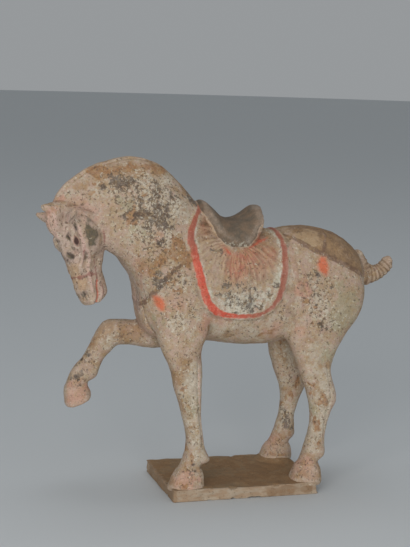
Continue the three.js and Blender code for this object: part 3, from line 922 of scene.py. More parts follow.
BACK = [
    (54, 269), (69, 262), (82, 256), (95, 250), (109, 243), (124, 235), (133, 230), (133, 300), (54, 300),
]
EYE = [(22.6, 15.8, 15.4, 0.8), (27.3, 16.6, 15.5, 2.9), (32.2, 16.6, 15.6, 1.0)]
# Dark paint marks on the face, with painted shade in the nostrils and the furrow under the eye, and a painted
# shadow beside the ears.
HEAD_INK_AND_SHADE = [
    [(82, 6, 12.5, 0.8), (86, 7.5, 10.5, 1.1)],
    [(38, 4.6, 19.8, 1.0), (41, 7, 18, 1.9), (44.5, 7.8, 16.5, 1.0)],
    [(46, 0.4, 18.3, 1.2), (48, -2.9, 17.5, 1.4)],
    [(8, 14.5, 17.5, 0.2), (5, 18.6, 17.5, 0.5), (1, 23.8, 17.5, 0.5), (-2, 26, 18.5, 0.2)],
    [(41, 14.8, 6.6, 0.5), (41.2, 14.9, 6.4, 0.5)],
    [(43.5, 15.6, 4.0, 0.5), (43.7, 15.6, 4.2, 0.5)],
    [(46, 12, 11.5, 0.4), (49, 11.2, 11.5, 0.4)],
    [(21, 8.8, 17.6, 1.0), (24, 9.6, 17.4, 1.2)],
    [(11, 15.2, 12.0, 0.5), (15, 14.4, 11.0, 1.0), (18, 14.6, 10.9, 0.4)],
]
# Pale along the face's ridges: paler slip with a painted highlight.
HEAD_PALE = [
    [(14, 17.6, 7.5, 1.0), (21, 18.2, 9, 1.8), (29, 18.8, 9.2, 2.0), (38, 16.6, 7.5, 1.8),
     (47, 13.2, 9, 1.5), (54, 9.7, 11.7, 1.2)],
    [(38, 18.5, 5, 1.0), (49, 14.9, 1.6, 1.6), (57, 12.4, 3.6, 1.6), (64, 11.3, 4, 1.6), (72, 11.6, 4, 1.7),
     (84, 11.9, 5.5, 1.4)],
    [(79, 13.5, -6.3, 1.0), (84, 13.6, -6.8, 1.8), (90, 13.6, -5.0, 1.6), (95, 11, -3.4, 1.0)],
    [(9, 9.5, 17, 1.2), (3, 14, 17, 2.2), (-2, 22, 18, 1.6), (-4, 27, 18.6, 0.8)],
    [(20, 9, 17.5, 0.8), (23, 13, 17.6, 1.2), (29, 15.4, 18.2, 0.9)],
    [(-14, 0, 30, 1.0), (-12, 1, 28.5, 1.4), (-8, 2, 26.5, 0.8)],
    [(-5, 3.4, 24, 1.0), (3, 4.2, 24.6, 1.6), (9, 5, 25, 0.8)],
    [(12, -1, 27, 0.8), (17, 0, 25, 1.5), (22, 1, 22.5, 0.8)],
]
# Pale seams at the backs of the legs: paler slip with a painted highlight.
LEG_SEAMS = [
    [(-52, -52, 169, 0.9), (-53, -49, 153, 1.5), (-54, -52, 134, 1.6), (-52, -50, 112, 1.5),
     (-50, -46, 93, 1.3), (-47, -45, 75, 1.2), (-45, -45, 57, 1.2), (-42, -46, 47, 0.9)],
    [(93, -48, 142, 0.8), (93, -48, 126, 1.2), (97, -46, 117, 1.3), (99, -47, 108, 1.3), (98, -48, 97, 1.2),
     (94, -48, 88, 1.1), (92, -46, 77, 0.8)],
]
RED_STREAKS = [
    [(1, -36, 263.5, 0.8), (8, -33, 266, 1.4), (15, -28, 269, 1.7), (22, -26, 271, 1.4),
     (26, -23, 273, 0.7)],
    [(-27, -41, 265, 0.7), (-25, -42, 262, 1.4), (-22, -44, 258.5, 1.0)],
]
COAT_WEAR = [
    ((62, -28, 272), (26, 26, 12), 1.2), ((76, -34, 268), (18, 18, 8), 0.6),
    ((101, -36, 256), (10, 12, 6), 0.4),
]
HEAD_BLOOM = [
    ((42, 5, 18), (10, 8, 7), 1.0), ((22, 10, 17), (9, 7, 6), 0.8), ((15, 14.5, 11), (7, 5, 5), 0.9),
    ((48, 0, 16), (5, 5, 5), 0.9), ((8, 2, 27), (10, 9, 6), 0.4), ((46, 15, 4), (12, 5, 6), 0.6),
    ((84, 5, 12), (7, 6, 6), 0.7), ((-4, 30, 18), (4, 4, 4), 0.4),
]
HEAD_BLUSH = [
    ((12, -4, 27.6), (8, 7, 6), 1.6), ((4, 2, 28), (7, 7, 6), 1.0), ((-15, -2.7, 6), (10, 8, 10), 1.5),
    ((14, 6, 24), (6, 5, 5), 0.8), ((80, 12.5, -2), (12, 5, 6), 0.8), ((-5, 29, 18), (6, 6, 6), 0.8),
]
# Grey stains on the cheek, with painted shade along the cheek's top and in the furrow under the eye.
HEAD_SHADE = [
    ((19, 21.4, 2.4), (7, 7, 5.5), 1.2), ((24, 22.6, -0.5), (8, 7, 7), 1.5),
    ((32, 22.3, 1), (8, 7, 6), 1.4), ((27, 24, -5), (7, 6, 6), 0.9), ((23, 8.9, 17.4), (5, 4, 5), 0.9),
    ((28, 23.6, -12.5), (5, 6, 5), 0.6), ((12, 21, -3), (9, 8, 8), 0.6), ((41, 7, 18), (6, 6, 6), 0.9),
    ((47, -1, 18), (5, 6, 5), 0.6), ((22, 9, 17.5), (6, 5, 5), 0.6), ((85, 5, 12), (6, 6, 6), 0.9),
    ((46, 14, 8), (9, 4, 4), 0.6), ((56, 13.5, -2), (12, 4, 4), 0.6),
    ((13, 14.8, 11.4), (8, 4, 4), 0.9), ((33, 12, 16), (5, 4, 4), 0.6),
    ((60, 1.5, 15), (12, 6, 5), 0.35), ((48, 16, -12), (14, 8, 8), 0.4), ((29, 16, 13), (6, 4, 6), 0.7),
]
HEAD_OCHRE = [
    ((54, 4.4, 15.3), (11, 8, 6), 1.3), ((64, 3.3, 14.2), (12, 9, 7), 2.0),
    ((74, 6, 12), (13, 8, 8), 2.0), ((90, 1, 8), (9, 9, 8), 1.2), ((71, 9.2, 7.4), (7, 5, 5), 0.8),
]
HEAD_MOSS = [
    ((24, 11, 16), (12, 8, 7), 1.2), ((36, 6, 18), (9, 9, 6), 1.0), ((46, 14, 2), (12, 5, 5), 0.6),
    ((10, 20, 6), (8, 8, 8), 0.5), ((85, 9, 8), (10, 6, 8), 0.7), ((20, 2, 22), (7, 10, 6), 0.7),
]
HEAD_RED = [
    [(65, -2, 14.4, 0.5), (66, 3, 14, 0.7), (66.5, 6.1, 13.1, 2.3), (66, 8, 11, 1.5), (66, 10, 7.3, 0.9),
     (65, 12.5, 4.4, 1.9), (66, 12.9, 2.4, 2.4), (67, 12.7, -1.4, 0.7), (69, 13, -9, 0.2)],
    [(46, 16.2, -5, 0.4), (56, 13.4, -5.2, 0.8), (66, 12.8, -4.2, 0.8), (75, 12.8, -3.6, 0.7)],
    [(34, 19.8, 8, 0.5), (40, 17, 8.5, 0.7), (48, 13.5, 6.5, 0.6)],
    [(79, 13.5, -7.8, 0.4), (85, 13.6, -8.0, 0.7), (91, 13, -6.6, 0.5)],
    [(20, 24.1, -15.9, 0.5), (29, 24.3, -17, 0.9), (38, 21.3, -17.8, 0.5)],
    [(2, -26, 17, 1.2), (-2, -30, 18, 1.6)],
]
MOUTH = [
    (74, 12.8, -3.5, 0.8), (79, 11.9, -1.9, 1.3), (87, 11.4, -0.7, 1.4), (93, 10.1, 0.9, 1.3),
    (98, 6, 1.5, 1.0), (100, 0, 1.5, 0.8),
]
GLOW = [
    ((2, -43, 253), (30, 24, 22), 0.45), ((-24, -42, 263), (8, 14, 7), 0.55),
    ((-5, -41, 260), (12, 14, 7), 0.55), ((12, -33, 273), (13, 18, 6), 0.75),
    ((25, -41, 260), (8, 16, 10), 0.3), ((-17, -47, 243), (12, 16, 14), 0.5),
    ((-44, -27, 284), (7, 16, 12), 0.35), ((-52, -34, 286), (8, 20, 16), 0.2),
]


def spread(points, dabs):
    """Round dabs of (x, y, z, radius) added up on both flanks, reaching 1 and more where they overlap."""
    total = np.zeros(len(points))
    for x, y, z, radius in dabs:
        reach = 1.5 * radius
        near = (abs(points[:, 0] - x) < reach) & (abs(points[:, 2] - z) < reach)
        close = np.nonzero(near)[0]
        total[close] += dab(points[close], (x, -abs(y), z), (reach, reach, reach))
    return total


def wander(points, far, length, little, short, seed):
    """A smooth random shift of each point: far over a long way and a little over a short one."""
    return np.column_stack([
        far * waves(points, length, each) + little * waves(points, short, each + 3)
        for each in (seed, seed + 1, seed + 2)
    ])


class Brush:
    """Finds where drawn lines and soft dabs of paint lie on the finished clay."""

    def __init__(self, mesh):
        clay = Clay(mesh)
        self.clay = clay
        self.tree = clay.surface()
        self.normals = clay.normals()
        blot = wander(clay.points, 4.0, 17, 2.4, 7, seed=31)
        blot -= self.normals * (blot * self.normals).sum(1)[:, None]
        self.points = flank(clay.points + wander(clay.points, 0.45, 9, 0.2, 4, seed=21))
        self.blotted = flank(clay.points + blot)
        local = to_head(clay.points)
        self.face = left_half(local)
        self.face_blotted = self.face + 0.35 * blot
        self.near_head = (local[:, 0] > -20) & (np.linalg.norm(local, axis=1) < HEAD_REACH)
        x, z = self.points[:, 0], self.points[:, 2]
        self.band = inside_outline(x, z, outline_of(BAND))
        self.saddle = inside_outline(x, z, outline_of(SADDLE))

    def drawn(self, lines):
        """How far inside the nearest of some lines on the body each point is."""
        rows = [on_surface(self.tree, smooth_through(line, 6)) for line in lines]
        return np.max([inside_line(self.points, row) for row in rows], 0)

    def drawn_on_head(self, lines):
        """How far inside the nearest of some lines on the head each point is."""
        found = np.full(len(self.points), -10.0)
        for line in lines:
            found = np.maximum(found, inside_line(self.face, head_line(self.tree, line)))
        return np.where(self.near_head, found, -10.0)

    def marks(self, dots):
        """How far inside the nearest of some sharp dots each point is."""
        return np.max([
            row[3] - np.linalg.norm(self.points - flank(row[None, :3]), axis=1)
            for row in on_surface(self.tree, dots)
        ], 0)

    def dabbed(self, dabs):
        """Dabs on the body with ragged edges."""
        return spread(self.blotted, on_surface(self.tree, dabs))

    def dabbed_on_head(self, dabs, ragged=False):
        """Dabs on the head, with even or ragged edges."""
        places = self.face_blotted if ragged else self.face
        return np.where(self.near_head, summed(dabs, places), 0)

    def hollows(self):
        """Above 0 in hollows and below it on ridges, weaker on the head and the cloth."""
        # Hollows get painted shade with some dirt from this, and ridges get wear with a painted highlight.
        curve = (self.clay.drift() * self.normals).sum(1)
        for _ in range(3):
            curve = self.clay.around(curve)
        on_cloth = soft_step(self.band, 0, 6) * (self.saddle < 0)
        return np.clip(curve * (9 * (1 - 0.45 * self.near_head) * (1 - 0.35 * on_cloth)), -1, 1)


def summed(dabs, places):
    """Dabs of (centre, radii, weight) added up."""
    return sum(weight * dab(places, centre, radii) for centre, radii, weight in dabs)


def cloth_fields(brush):
    """The saddle, its cloth with border and pleats, and the red streaks."""
    x, z = brush.points[:, 0], brush.points[:, 2]
    border = smooth_through(BAND, 6, closed=True)[:, [0, 0, 1, 2]] * (1, 0, 1, 1)
    angle, away, shown = pleat_fan(brush.points)
    glow = [(centre, np.array(radii) * 1.5, weight) for centre, radii, weight in GLOW]
    return {
        "cloth": np.clip(brush.band, -20, 40),
        "border": inside_line(np.column_stack([x, 0 * x, z]), border).clip(-12, 8),
        "fresh": soft_step(-x, -34, 36) * (0.35 + 0.65 * soft_step(-z, -275, -235)),
        "saddle": np.clip(brush.saddle, -20, 20),
        "flap_foot": soft_step(-z, -277, -266) * (brush.saddle > -1),
        "pleat_angle": angle,
        "pleat_phase": pleat_phase(angle, away),
        "pleat_away": away,
        "pleat_shown": shown,
        "glow": summed(glow, brush.points),
        "streak": brush.drawn(RED_STREAKS),
    }


def harness_fields(brush):
    """Straps, tassels, the coat on the rump and the tail's binding."""
    x, z = brush.points[:, 0], brush.points[:, 2]
    return {
        "strap": brush.drawn(STRAPS),
        "ribbon": brush.drawn(RIBBONS),
        "tassel": brush.drawn(TASSELS),
        "back": np.clip(inside_outline(x, z, np.array(BACK)), -20, 20),
        "coat_wear": summed(COAT_WEAR, brush.blotted),
        "wrap": tail_wraps(brush.clay.points),
        "tail": soft_step(x, 138, 144) * (z > 205),
    }


def head_fields(brush):
    """The painted face with its painted shade, shadow and highlights, and the pale seams of face and legs."""
    down, aside = brush.face[:, 0], brush.face[:, 1]
    return {
        "head": soft_step(down, -8, 0) * brush.near_head * (aside < 26),
        "noseband": brush.drawn_on_head(HEAD_RED),
        "mouth": brush.drawn_on_head([MOUTH]),
        "eye": brush.drawn_on_head([EYE]),
        "ink_and_shade": np.maximum(brush.marks(MARKS), brush.drawn_on_head(HEAD_INK_AND_SHADE)).clip(-6, 6),
        "pale": np.maximum(brush.drawn_on_head(HEAD_PALE), brush.drawn(LEG_SEAMS)),
        "shade": brush.dabbed_on_head(HEAD_SHADE, ragged=True),
        "face_ochre": brush.dabbed_on_head(HEAD_OCHRE, ragged=True),
    }


def dirt_and_shade_fields(brush):
    """Slip, blush, the dirt of the grave, and the curvature that places painted shade and highlight."""
    upward = soft_step(brush.normals[:, 2], 0.35, 0.9) * (brush.points[:, 2] > 200)
    near_head = brush.near_head
    blush = brush.dabbed(BLUSH) + brush.dabbed_on_head(HEAD_BLUSH)
    moss_and_shade = brush.dabbed(MOSS_AND_SHADE) + brush.dabbed_on_head(HEAD_MOSS, ragged=True)
    return {
        "earth": brush.dabbed(EARTH) + 0.5 * upward,
        "rust": brush.dabbed(RUST),
        "soot": brush.dabbed(SOOT) + brush.dabbed_on_head(HEAD_BLOOM),
        "pepper": (spread(brush.points, PEPPER) + 0.45 * near_head).clip(0, 1.5),
        "white": (brush.dabbed(WHITE) + 0.1 * near_head).clip(0, 1.5),
        "blush": blush.clip(0, 1.5),
        "moss_and_shade": moss_and_shade.clip(0, 1.5),
        "slip": brush.dabbed(SLIP).clip(0, 1.5),
        # Curvature: painted shade and dirt in hollows, wear and a painted highlight on ridges.
        "curve_shade_and_wear": brush.hollows(),
    }


def set_field(mesh, name, values):
    """Keeps one number for each of the mesh's points."""
    mesh.attributes.new(name, "FLOAT", "POINT").data.foreach_set("value", values.astype(np.float32))


def lay_paint(mesh):
    """Measures where each coat of paint, dirt and painted shade lies and keeps it on the mesh's points."""
    brush = Brush(mesh)
    for fields in (cloth_fields(brush), harness_fields(brush), head_fields(brush), dirt_and_shade_fields(brush)):
        for name, values in fields.items():
            set_field(mesh, name, values)


# Shader maths written as Python expressions

class Value:
    """A node's output that takes part in arithmetic. Each operation adds its Math node."""

    def __init__(self, kit, link):
        self.kit = kit
        self.link = link

    def __add__(self, other):
        return self.kit.maths("ADD", self, other)

    def __sub__(self, other):
        return self.kit.maths("SUBTRACT", self, other)

    def __rsub__(self, other):
        return self.kit.maths("SUBTRACT", other, self)

    def __mul__(self, other):
        return self.kit.maths("MULTIPLY", self, other)

    __radd__ = __add__
    __rmul__ = __mul__


class Finish:
    """One material's nodes, added as expressions, and its colour after each coat."""

    def __init__(self, name):
        self.material = bpy.data.materials.new(name)
        self.material.use_nodes = True
        self.tree = self.material.node_tree
        self.tree.nodes.clear()
        self.place = self.node("ShaderNodeTexCoord", output="Object")
        self.colour = None

    def node(self, kind, settings=None, inputs=None, output=0):
        """Adds a node, sets it and then its sockets, and gives the output asked for."""
        made = self.tree.nodes.new(kind)
        for name, value in (settings or {}).items():
            setattr(made, name, value)
        for name, value in (inputs or {}).items():
            if isinstance(value, Value):
                self.tree.links.new(value.link, made.inputs[name])
            else:
                made.inputs[name].default_value = value
        return Value(self, made.outputs[output]) if len(made.outputs) else None

    def maths(self, operation, *values):
        """One Math node on values or numbers."""
        return self.node("ShaderNodeMath", {"operation": operation}, dict(enumerate(values)))

    def field(self, name):
        """A number kept on the mesh's points."""
        return self.node("ShaderNodeAttribute", {"attribute_name": name}, output="Fac")

    def step(self, value, low, high):
        """0 below low, 1 above high and smooth between them."""
        sockets = {"Value": value, "From Min": low, "From Max": high}
        return self.node("ShaderNodeMapRange", {"interpolation_type": "SMOOTHSTEP"}, sockets)

    def noise(self, size, detail, roughness, place=None):
        """Cloudy noise, 0 to 1, with lumps of about the size in millimetres."""
        sockets = {"Vector": place or self.place, "Scale": 1 / (size * MM), "Detail": detail}
        sockets["Roughness"] = roughness
        return self.node("ShaderNodeTexNoise", inputs=sockets, output="Fac")

    def mix(self, factor, below, above, blend="MIX"):
        """A colour between two: the one below where the factor is 0, the one above where it is 1."""
        sockets = {"Factor": factor, 6: below, 7: above}
        return self.node("ShaderNodeMix", {"data_type": "RGBA", "blend_type": blend}, sockets, output=2)

    def lay(self, amount, paint):
        """Lays a coat over the colour so far, as thickly as the amount, 0 to 1."""
        self.colour = self.mix(amount, self.colour, paint)

    def shifted(self, x, y, z, stretch=(1, 1, 1)):
        """The place moved by metres and stretched."""
        moved = self.node("ShaderNodeVectorMath", {"operation": "ADD"}, {0: self.place, 1: (x, y, z)})
        return self.node("ShaderNodeVectorMath", {"operation": "MULTIPLY"}, {0: moved, 1: stretch})

    def done(self, roughness, height, depth):
        """Joins the colour, roughness and relief, of a depth in millimetres, to the surface."""
        relief = {"Strength": 1.0, "Distance": depth * MM, "Height": height}
        sockets = {"Base Color": self.colour, "Roughness": roughness, "Specular IOR Level": 0.25}
        sockets["Normal"] = self.node("ShaderNodeBump", inputs=relief, output="Normal")
        surface = self.node("ShaderNodeBsdfPrincipled", inputs=sockets)
        self.node("ShaderNodeOutputMaterial", inputs={"Surface": surface})
        return self.material


def tint(red, green, blue):
    """A colour given as screen values, 0 to 255, in Blender's linear light."""
    parts = []
    for value in (red, green, blue):
        part = value / 255
        parts.append(part / 12.92 if part <= 0.04045 else ((part + 0.055) / 1.055) ** 2.4)
    return (*parts, 1.0)


class HorsePaint(Finish):
    """Grave pottery: buff clay, worn pale slip, earth and dark bloom, what is left of the paint, painted
    shade and highlights.
    """

    def __init__(self, settings):
        super().__init__("painted_clay")
        self.settings = settings
        self.fine = self.noise(1.4, 3, 0.7)
        self.specks = self.noise(2.7, 2, 0.7, self.shifted(0.9, 0.31, 0.05))
        self.chips = self.noise(3.0, 2, 0.7, self.shifted(0.11, 0.23, 0))
        self.dabs = self.noise(5.4, 3, 0.7, self.shifted(0.3, 0.5, 0.7))
        self.small = self.noise(3.6, 5, 0.7)
        self.medium = self.noise(6, 5, 0.7, self.shifted(0.4, 0, 0.2))
        self.patchy = self.noise(11, 5, 0.7)
        self.broad = self.noise(34, 4, 0.6)
        self.worn = self.fine * 1.3 + self.small * 1.4 - 1.35
        self.whole_slip = self.field("slip") * 0.07

    def clay_and_slip(self):
        """The clay, its worn pale slip and soft tints. Gives where the slip covers."""
        bare = self.step(self.patchy * 0.6 + self.small * 0.4, 0.42, 0.60)
        self.colour = self.mix(bare, self.settings.clay, tint(170, 145, 115))
        self.lay(self.step(self.medium * 0.6 + self.dabs * 0.4, 0.50, 0.64) * 0.6, tint(162, 154, 128))
        cloudy = self.small * 0.4 + self.medium * 0.35 + self.broad * 0.25
        covered = self.step(cloudy + self.field("white") * 0.07 + self.whole_slip, 0.48, 0.58)
        self.lay(covered * 0.72, self.settings.slip)
        blush = self.step(self.field("blush") * 0.4 + self.small * 0.4 + self.patchy * 0.4, 0.45, 0.95)
        self.lay(blush * 0.75, self.settings.blush)
        # Green-grey stains, which are partly painted shade at the hind thighs.
        moss_and_shade = self.step(self.field("moss_and_shade") * 0.4 + self.medium * 0.8, 0.48, 0.76)
        self.lay(moss_and_shade * 0.6, tint(158, 152, 124))
        return covered

    def straps_and_rump(self):
        """The straps, and the darker coat above the rump's. Gives where that coat lies."""
        back = self.step(self.field("back") + self.worn * 3 + self.medium * 3 - 1.5, -1.2, 2.4)
        cloudy = self.step(self.medium * 0.4 + self.patchy * 0.4 + self.broad * 0.2, 0.42, 0.58)
        coat = self.mix(cloudy, self.settings.back, tint(154, 124, 92))
        wear = self.step(self.field("coat_wear") + self.medium * 0.6, 0.40, 1.10)
        self.lay(back * 0.92, self.mix(wear * 0.8, coat, tint(182, 156, 124)))
        self.lay(self.step(self.field("strap") + self.worn, -0.9, 0.9) * 0.85, tint(116, 90, 74))
        self.lay(self.step(self.field("ribbon") + self.worn, -0.8, 0.8) * 0.32, tint(168, 124, 110))
        return back

    def cloth(self):
        """The saddle cloth's pale ground and its orange-red pleats."""
        glow, shown = self.field("glow"), self.field("pleat_shown")
        left = self.small * 0.7 + self.dabs * 0.5 + self.field("white") * 0.1 - shown * 0.2
        ground = self.step(self.field("cloth"), 1.0, 4.0) * self.step(left, 0.54, 0.72)
        self.lay(ground * 0.78, tint(204, 200, 185))
        across, along = self.field("pleat_angle") * 0.013, self.field("pleat_away") * 0.00016
        streaks = self.node("ShaderNodeCombineXYZ", inputs={"X": across, "Y": along, "Z": 0.0})
        stripe = self.noise(1.1, 2, 0.5, streaks)
        wide_stripe = self.noise(3.8, 2, 0.5, streaks)
        warm = self.step(glow + wide_stripe * 0.7 + self.medium * 0.6, 0.60, 1.40)
        dark_fold = self.mix(warm, tint(140, 112, 88), self.settings.pleat)
        pale_fold = self.mix(warm, tint(180, 160, 134), tint(188, 138, 110))
        # The stripes lean a little paler on the carved ridges and darker in the folds: painted highlight and
        # shade.
        ridge = self.maths("SINE", self.field("pleat_phase"))
        on_ridge = self.step(ridge * 0.04 + stripe * 0.5 + wide_stripe * 0.5, 0.40, 0.62)
        kept = self.step(self.small * 0.6 + wide_stripe * 0.5 + glow * 0.4, 0.38, 0.66)
        self.lay(shown * kept * 0.75, self.mix(on_ridge, dark_fold, pale_fold))

    def border(self):
        """The cloth's red border, dulled towards the back. Gives where it lies."""
        fresh = self.step(self.field("fresh") + self.patchy * 0.25, 0.25, 1.05)
        red = self.mix(fresh, self.settings.worn_border, self.settings.border)
        thin = self.step(self.fine * 0.5 + self.chips * 0.5, 0.48, 0.60) * (0.15 + fresh * 0.2)
        red = self.mix(thin, red, tint(210, 130, 106))
        red = self.mix(self.step(self.specks, 0.58, 0.66) * 0.4, red, tint(140, 74, 58))
        on_border = self.step(self.field("border") + self.worn * (2.6 - fresh * 1.4), -0.9, 0.9)
        self.lay(on_border * (0.86 + fresh * 0.06), red)
        return on_border

    def tassels(self):
        """The orange tassels with paler rims. Gives where they lie."""
        halo = self.step(self.field("tassel") + self.worn * 4.0, -3.6, 3.0)
        self.lay(halo * 0.92, self.mix(halo, tint(200, 146, 118), self.settings.tassel))
        return halo

    def saddle(self):
        """The grey saddle, speckled at its flaps' feet, with a painted highlight along its edge. Gives where
        it lies.
        """
        on_saddle = self.step(self.field("saddle") + self.worn * 0.6, -0.6, 0.4)
        grey = self.mix(self.step(self.patchy, 0.35, 0.65), self.settings.saddle, tint(126, 106, 88))
        grey = self.mix(self.step(self.chips, 0.58, 0.68) * 0.3, grey, tint(140, 128, 114))
        foot = self.field("flap_foot") * 0.22
        speckled = self.step(foot + self.dabs * 0.5 + self.chips * 0.5, 0.70, 0.76)
        self.lay(on_saddle, self.mix(speckled * 0.75, grey, tint(182, 178, 162)))
        # A pale line just outside the saddle's edge is a painted highlight.
        from_saddle_edge = self.maths("ABSOLUTE", self.field("saddle") + 0.9)
        self.lay(self.step(0.8 - from_saddle_edge + self.worn * 2.0, -0.1, 0.6) * 0.30, tint(190, 152, 124))
        return on_saddle

    def dirt(self, bare):
        """Earth, rust and grey bloom over clay and paint. Gives where rust and bloom lie."""
        dirty = self.step(self.field("earth") * 0.26 + self.medium * 0.6 + self.patchy * 0.4, 0.54, 0.78)
        earth = self.mix(self.step(self.small, 0.4, 0.6), tint(160, 128, 92), self.settings.earth)
        self.lay(dirty * bare * 0.75, earth)
        rusty = self.step(self.field("rust") * 0.4 + self.dabs * 0.6 + self.fine * 0.25, 0.52, 0.66)
        crust = self.mix(self.step(self.small, 0.40, 0.62), self.settings.rust, tint(170, 132, 100))
        mottled = self.step(self.chips * 0.5 + self.specks * 0.5, 0.50, 0.58)
        self.lay(rusty * bare * 0.82, self.mix(mottled * 0.6, crust, tint(124, 90, 68)))
        sooty = self.step(self.field("soot") * 0.42 + self.dabs * 0.75 + self.chips * 0.65, 0.82, 0.91)
        bloom = self.mix(self.step(self.small, 0.42, 0.60), self.settings.soot, tint(114, 106, 97))
        self.lay(sooty * bare * 0.78, bloom)
        return rusty, sooty

    def head_stains(self):
        """The face's own pale, ochre and dark stains, with painted highlights and painted shade. Gives where
        the dark ones are.
        """
        head = self.field("head")
        self.lay(head * self.step(self.broad + self.dabs * 0.5, 0.5, 0.9) * 0.65, tint(192, 168, 156))
        self.lay(head * self.step(self.dabs, 0.50, 0.60) * 0.36, tint(144, 132, 112))
        ochre = self.step(self.field("face_ochre") * 0.5 + self.medium * 0.6 + self.small * 0.3, 0.62, 1.05)
        self.lay(ochre * 0.55, tint(180, 146, 108))
        shade = self.step(self.field("shade") * 0.62 + self.small * 0.45 + self.dabs * 0.25, 0.40, 0.92)
        self.lay(shade * 0.92, tint(94, 88, 73))
        # Pale ridges and seams: slip with a painted highlight.
        self.lay(self.step(self.field("pale") + self.worn * 1.3, -1.0, 1.0) * 0.6, tint(204, 172, 160))
        return shade

    def bound_tail(self):
        """The tail's brown cord, darker between its turns."""
        tail = self.field("tail")
        between_turns = self.step(0.1 - self.field("wrap") - self.worn * 0.8, 0.0, 0.8) * tail
        self.lay(tail * (0.35 + self.step(self.dabs, 0.40, 0.60) * 0.4), tint(150, 122, 96))
        self.lay(between_turns * 0.5, tint(108, 84, 64))

    def flecks(self, bare, hidden, rusty, sooty):
        """Ochre, pale, rust and dark flecks, and grains. Gives where the dark flecks are."""
        pepper = self.field("pepper")
        crowd = self.step(self.medium * 0.6 + self.patchy * 0.4, 0.35, 0.65) * 0.10 - 0.05
        ochre = self.step(self.noise(4.4, 3, 0.7, self.shifted(0.7, 0.2, 0.4)) + pepper * 0.03, 0.53, 0.60)
        self.lay(ochre * bare * (0.38 - self.field("head") * 0.2), tint(174, 146, 104))
        pale = self.step(self.chips + self.field("white") * 0.09 + crowd * 0.6 - hidden, 0.622, 0.665)
        self.lay(pale * bare * (0.66 - rusty * 0.45), self.settings.pale_fleck)
        rust = self.dabs * 0.6 + self.chips * 0.4 + self.field("rust") * 0.03 + crowd * 0.4
        self.lay(self.step(rust, 0.60, 0.66) * bare * 0.5, tint(146, 112, 82))
        thick = pepper * 0.055 + crowd * 0.9 - self.whole_slip * 0.25
        dark = self.step(self.specks * 0.8 + self.fine * 0.2 + thick + sooty * 0.03, 0.60, 0.64)
        self.lay(dark * bare * 0.74, self.settings.dark_fleck)
        grains = self.step(self.fine + thick * 0.8, 0.57, 0.66)
        self.lay(grains * bare * 0.42, tint(120, 98, 80))
        return dark

    def fine_painting(self):
        """Noseband, mouth, eyes and single dark marks, with painted shade in nostrils and furrow and a
        painted shadow by the ears.
        """
        self.lay(self.step(self.field("noseband") + self.worn * 1.6, -1.0, 0.8) * 0.72, tint(132, 82, 74))
        self.lay(self.step(self.field("mouth") + self.worn * 1.2, -0.5, 0.7) * 0.7, tint(188, 94, 72))
        eye = self.field("eye") + self.worn * 0.4
        self.lay(self.step(eye, -1.0, 0.0) * 0.6, tint(142, 88, 76))
        self.lay(self.step(eye, -0.1, 0.8) * 0.9, tint(62, 46, 44))
        # Dark marks: paint, with painted shade and shadow on the face.
        self.lay(self.step(self.field("ink_and_shade") + self.worn * 1.4, -0.9, 0.9) * 0.76, tint(64, 54, 52))

    def wear(self):
        """Painted shade and dirt in hollows, red streaks, rubbed and highlit ridges, then a mottled tone over
        everything.
        """
        # Painted shade, with some dirt, darkens the hollows.
        self.lay(self.step(self.field("curve_shade_and_wear"), 0.10, 0.8) * 0.6, tint(92, 72, 56))
        self.lay(self.step(self.field("streak") + self.worn * 2.0, -0.9, 0.9) * 0.75, tint(192, 100, 76))
        # Ridges paler: wear together with a painted highlight.
        rubbed_and_highlit = self.step(self.field("curve_shade_and_wear") * -1.0 + self.fine * 0.2, 0.30, 0.9)
        self.lay(rubbed_and_highlit * 0.3, tint(204, 184, 166))
        tone = 0.82 + self.step(self.medium * 0.4 + self.fine * 0.6, 0.30, 0.70) * 0.38
        self.colour = self.mix(1.0, self.colour, tone, "MULTIPLY")


def painted_clay(settings):
    """The horse's coats in the order that they lie."""
    paint = HorsePaint(settings)
    covered = paint.clay_and_slip()
    back = paint.straps_and_rump()
    paint.cloth()
    on_border = paint.border()
    halo = paint.tassels()
    on_saddle = paint.saddle()
    bare = 1 - on_border * 0.8 - on_saddle * 0.88 - back * 0.35 - halo * 0.5
    rusty, sooty = paint.dirt(bare)
    shade = paint.head_stains()
    paint.bound_tail()
    hidden = on_saddle * 0.10 + back * 0.05 + paint.field("pleat_shown") * 0.03 + shade * 0.06
    dark_flecks = paint.flecks(bare, hidden, rusty, sooty)
    paint.fine_painting()
    # Wear here also lays painted shade in hollows and a painted highlight on ridges.
    paint.wear()
    height = paint.fine * 0.45 + paint.small * 0.7 + covered * 0.15 + paint.patchy * 0.8 - dark_flecks * 0.2
    return paint.done(roughness=0.92, height=height, depth=0.45)


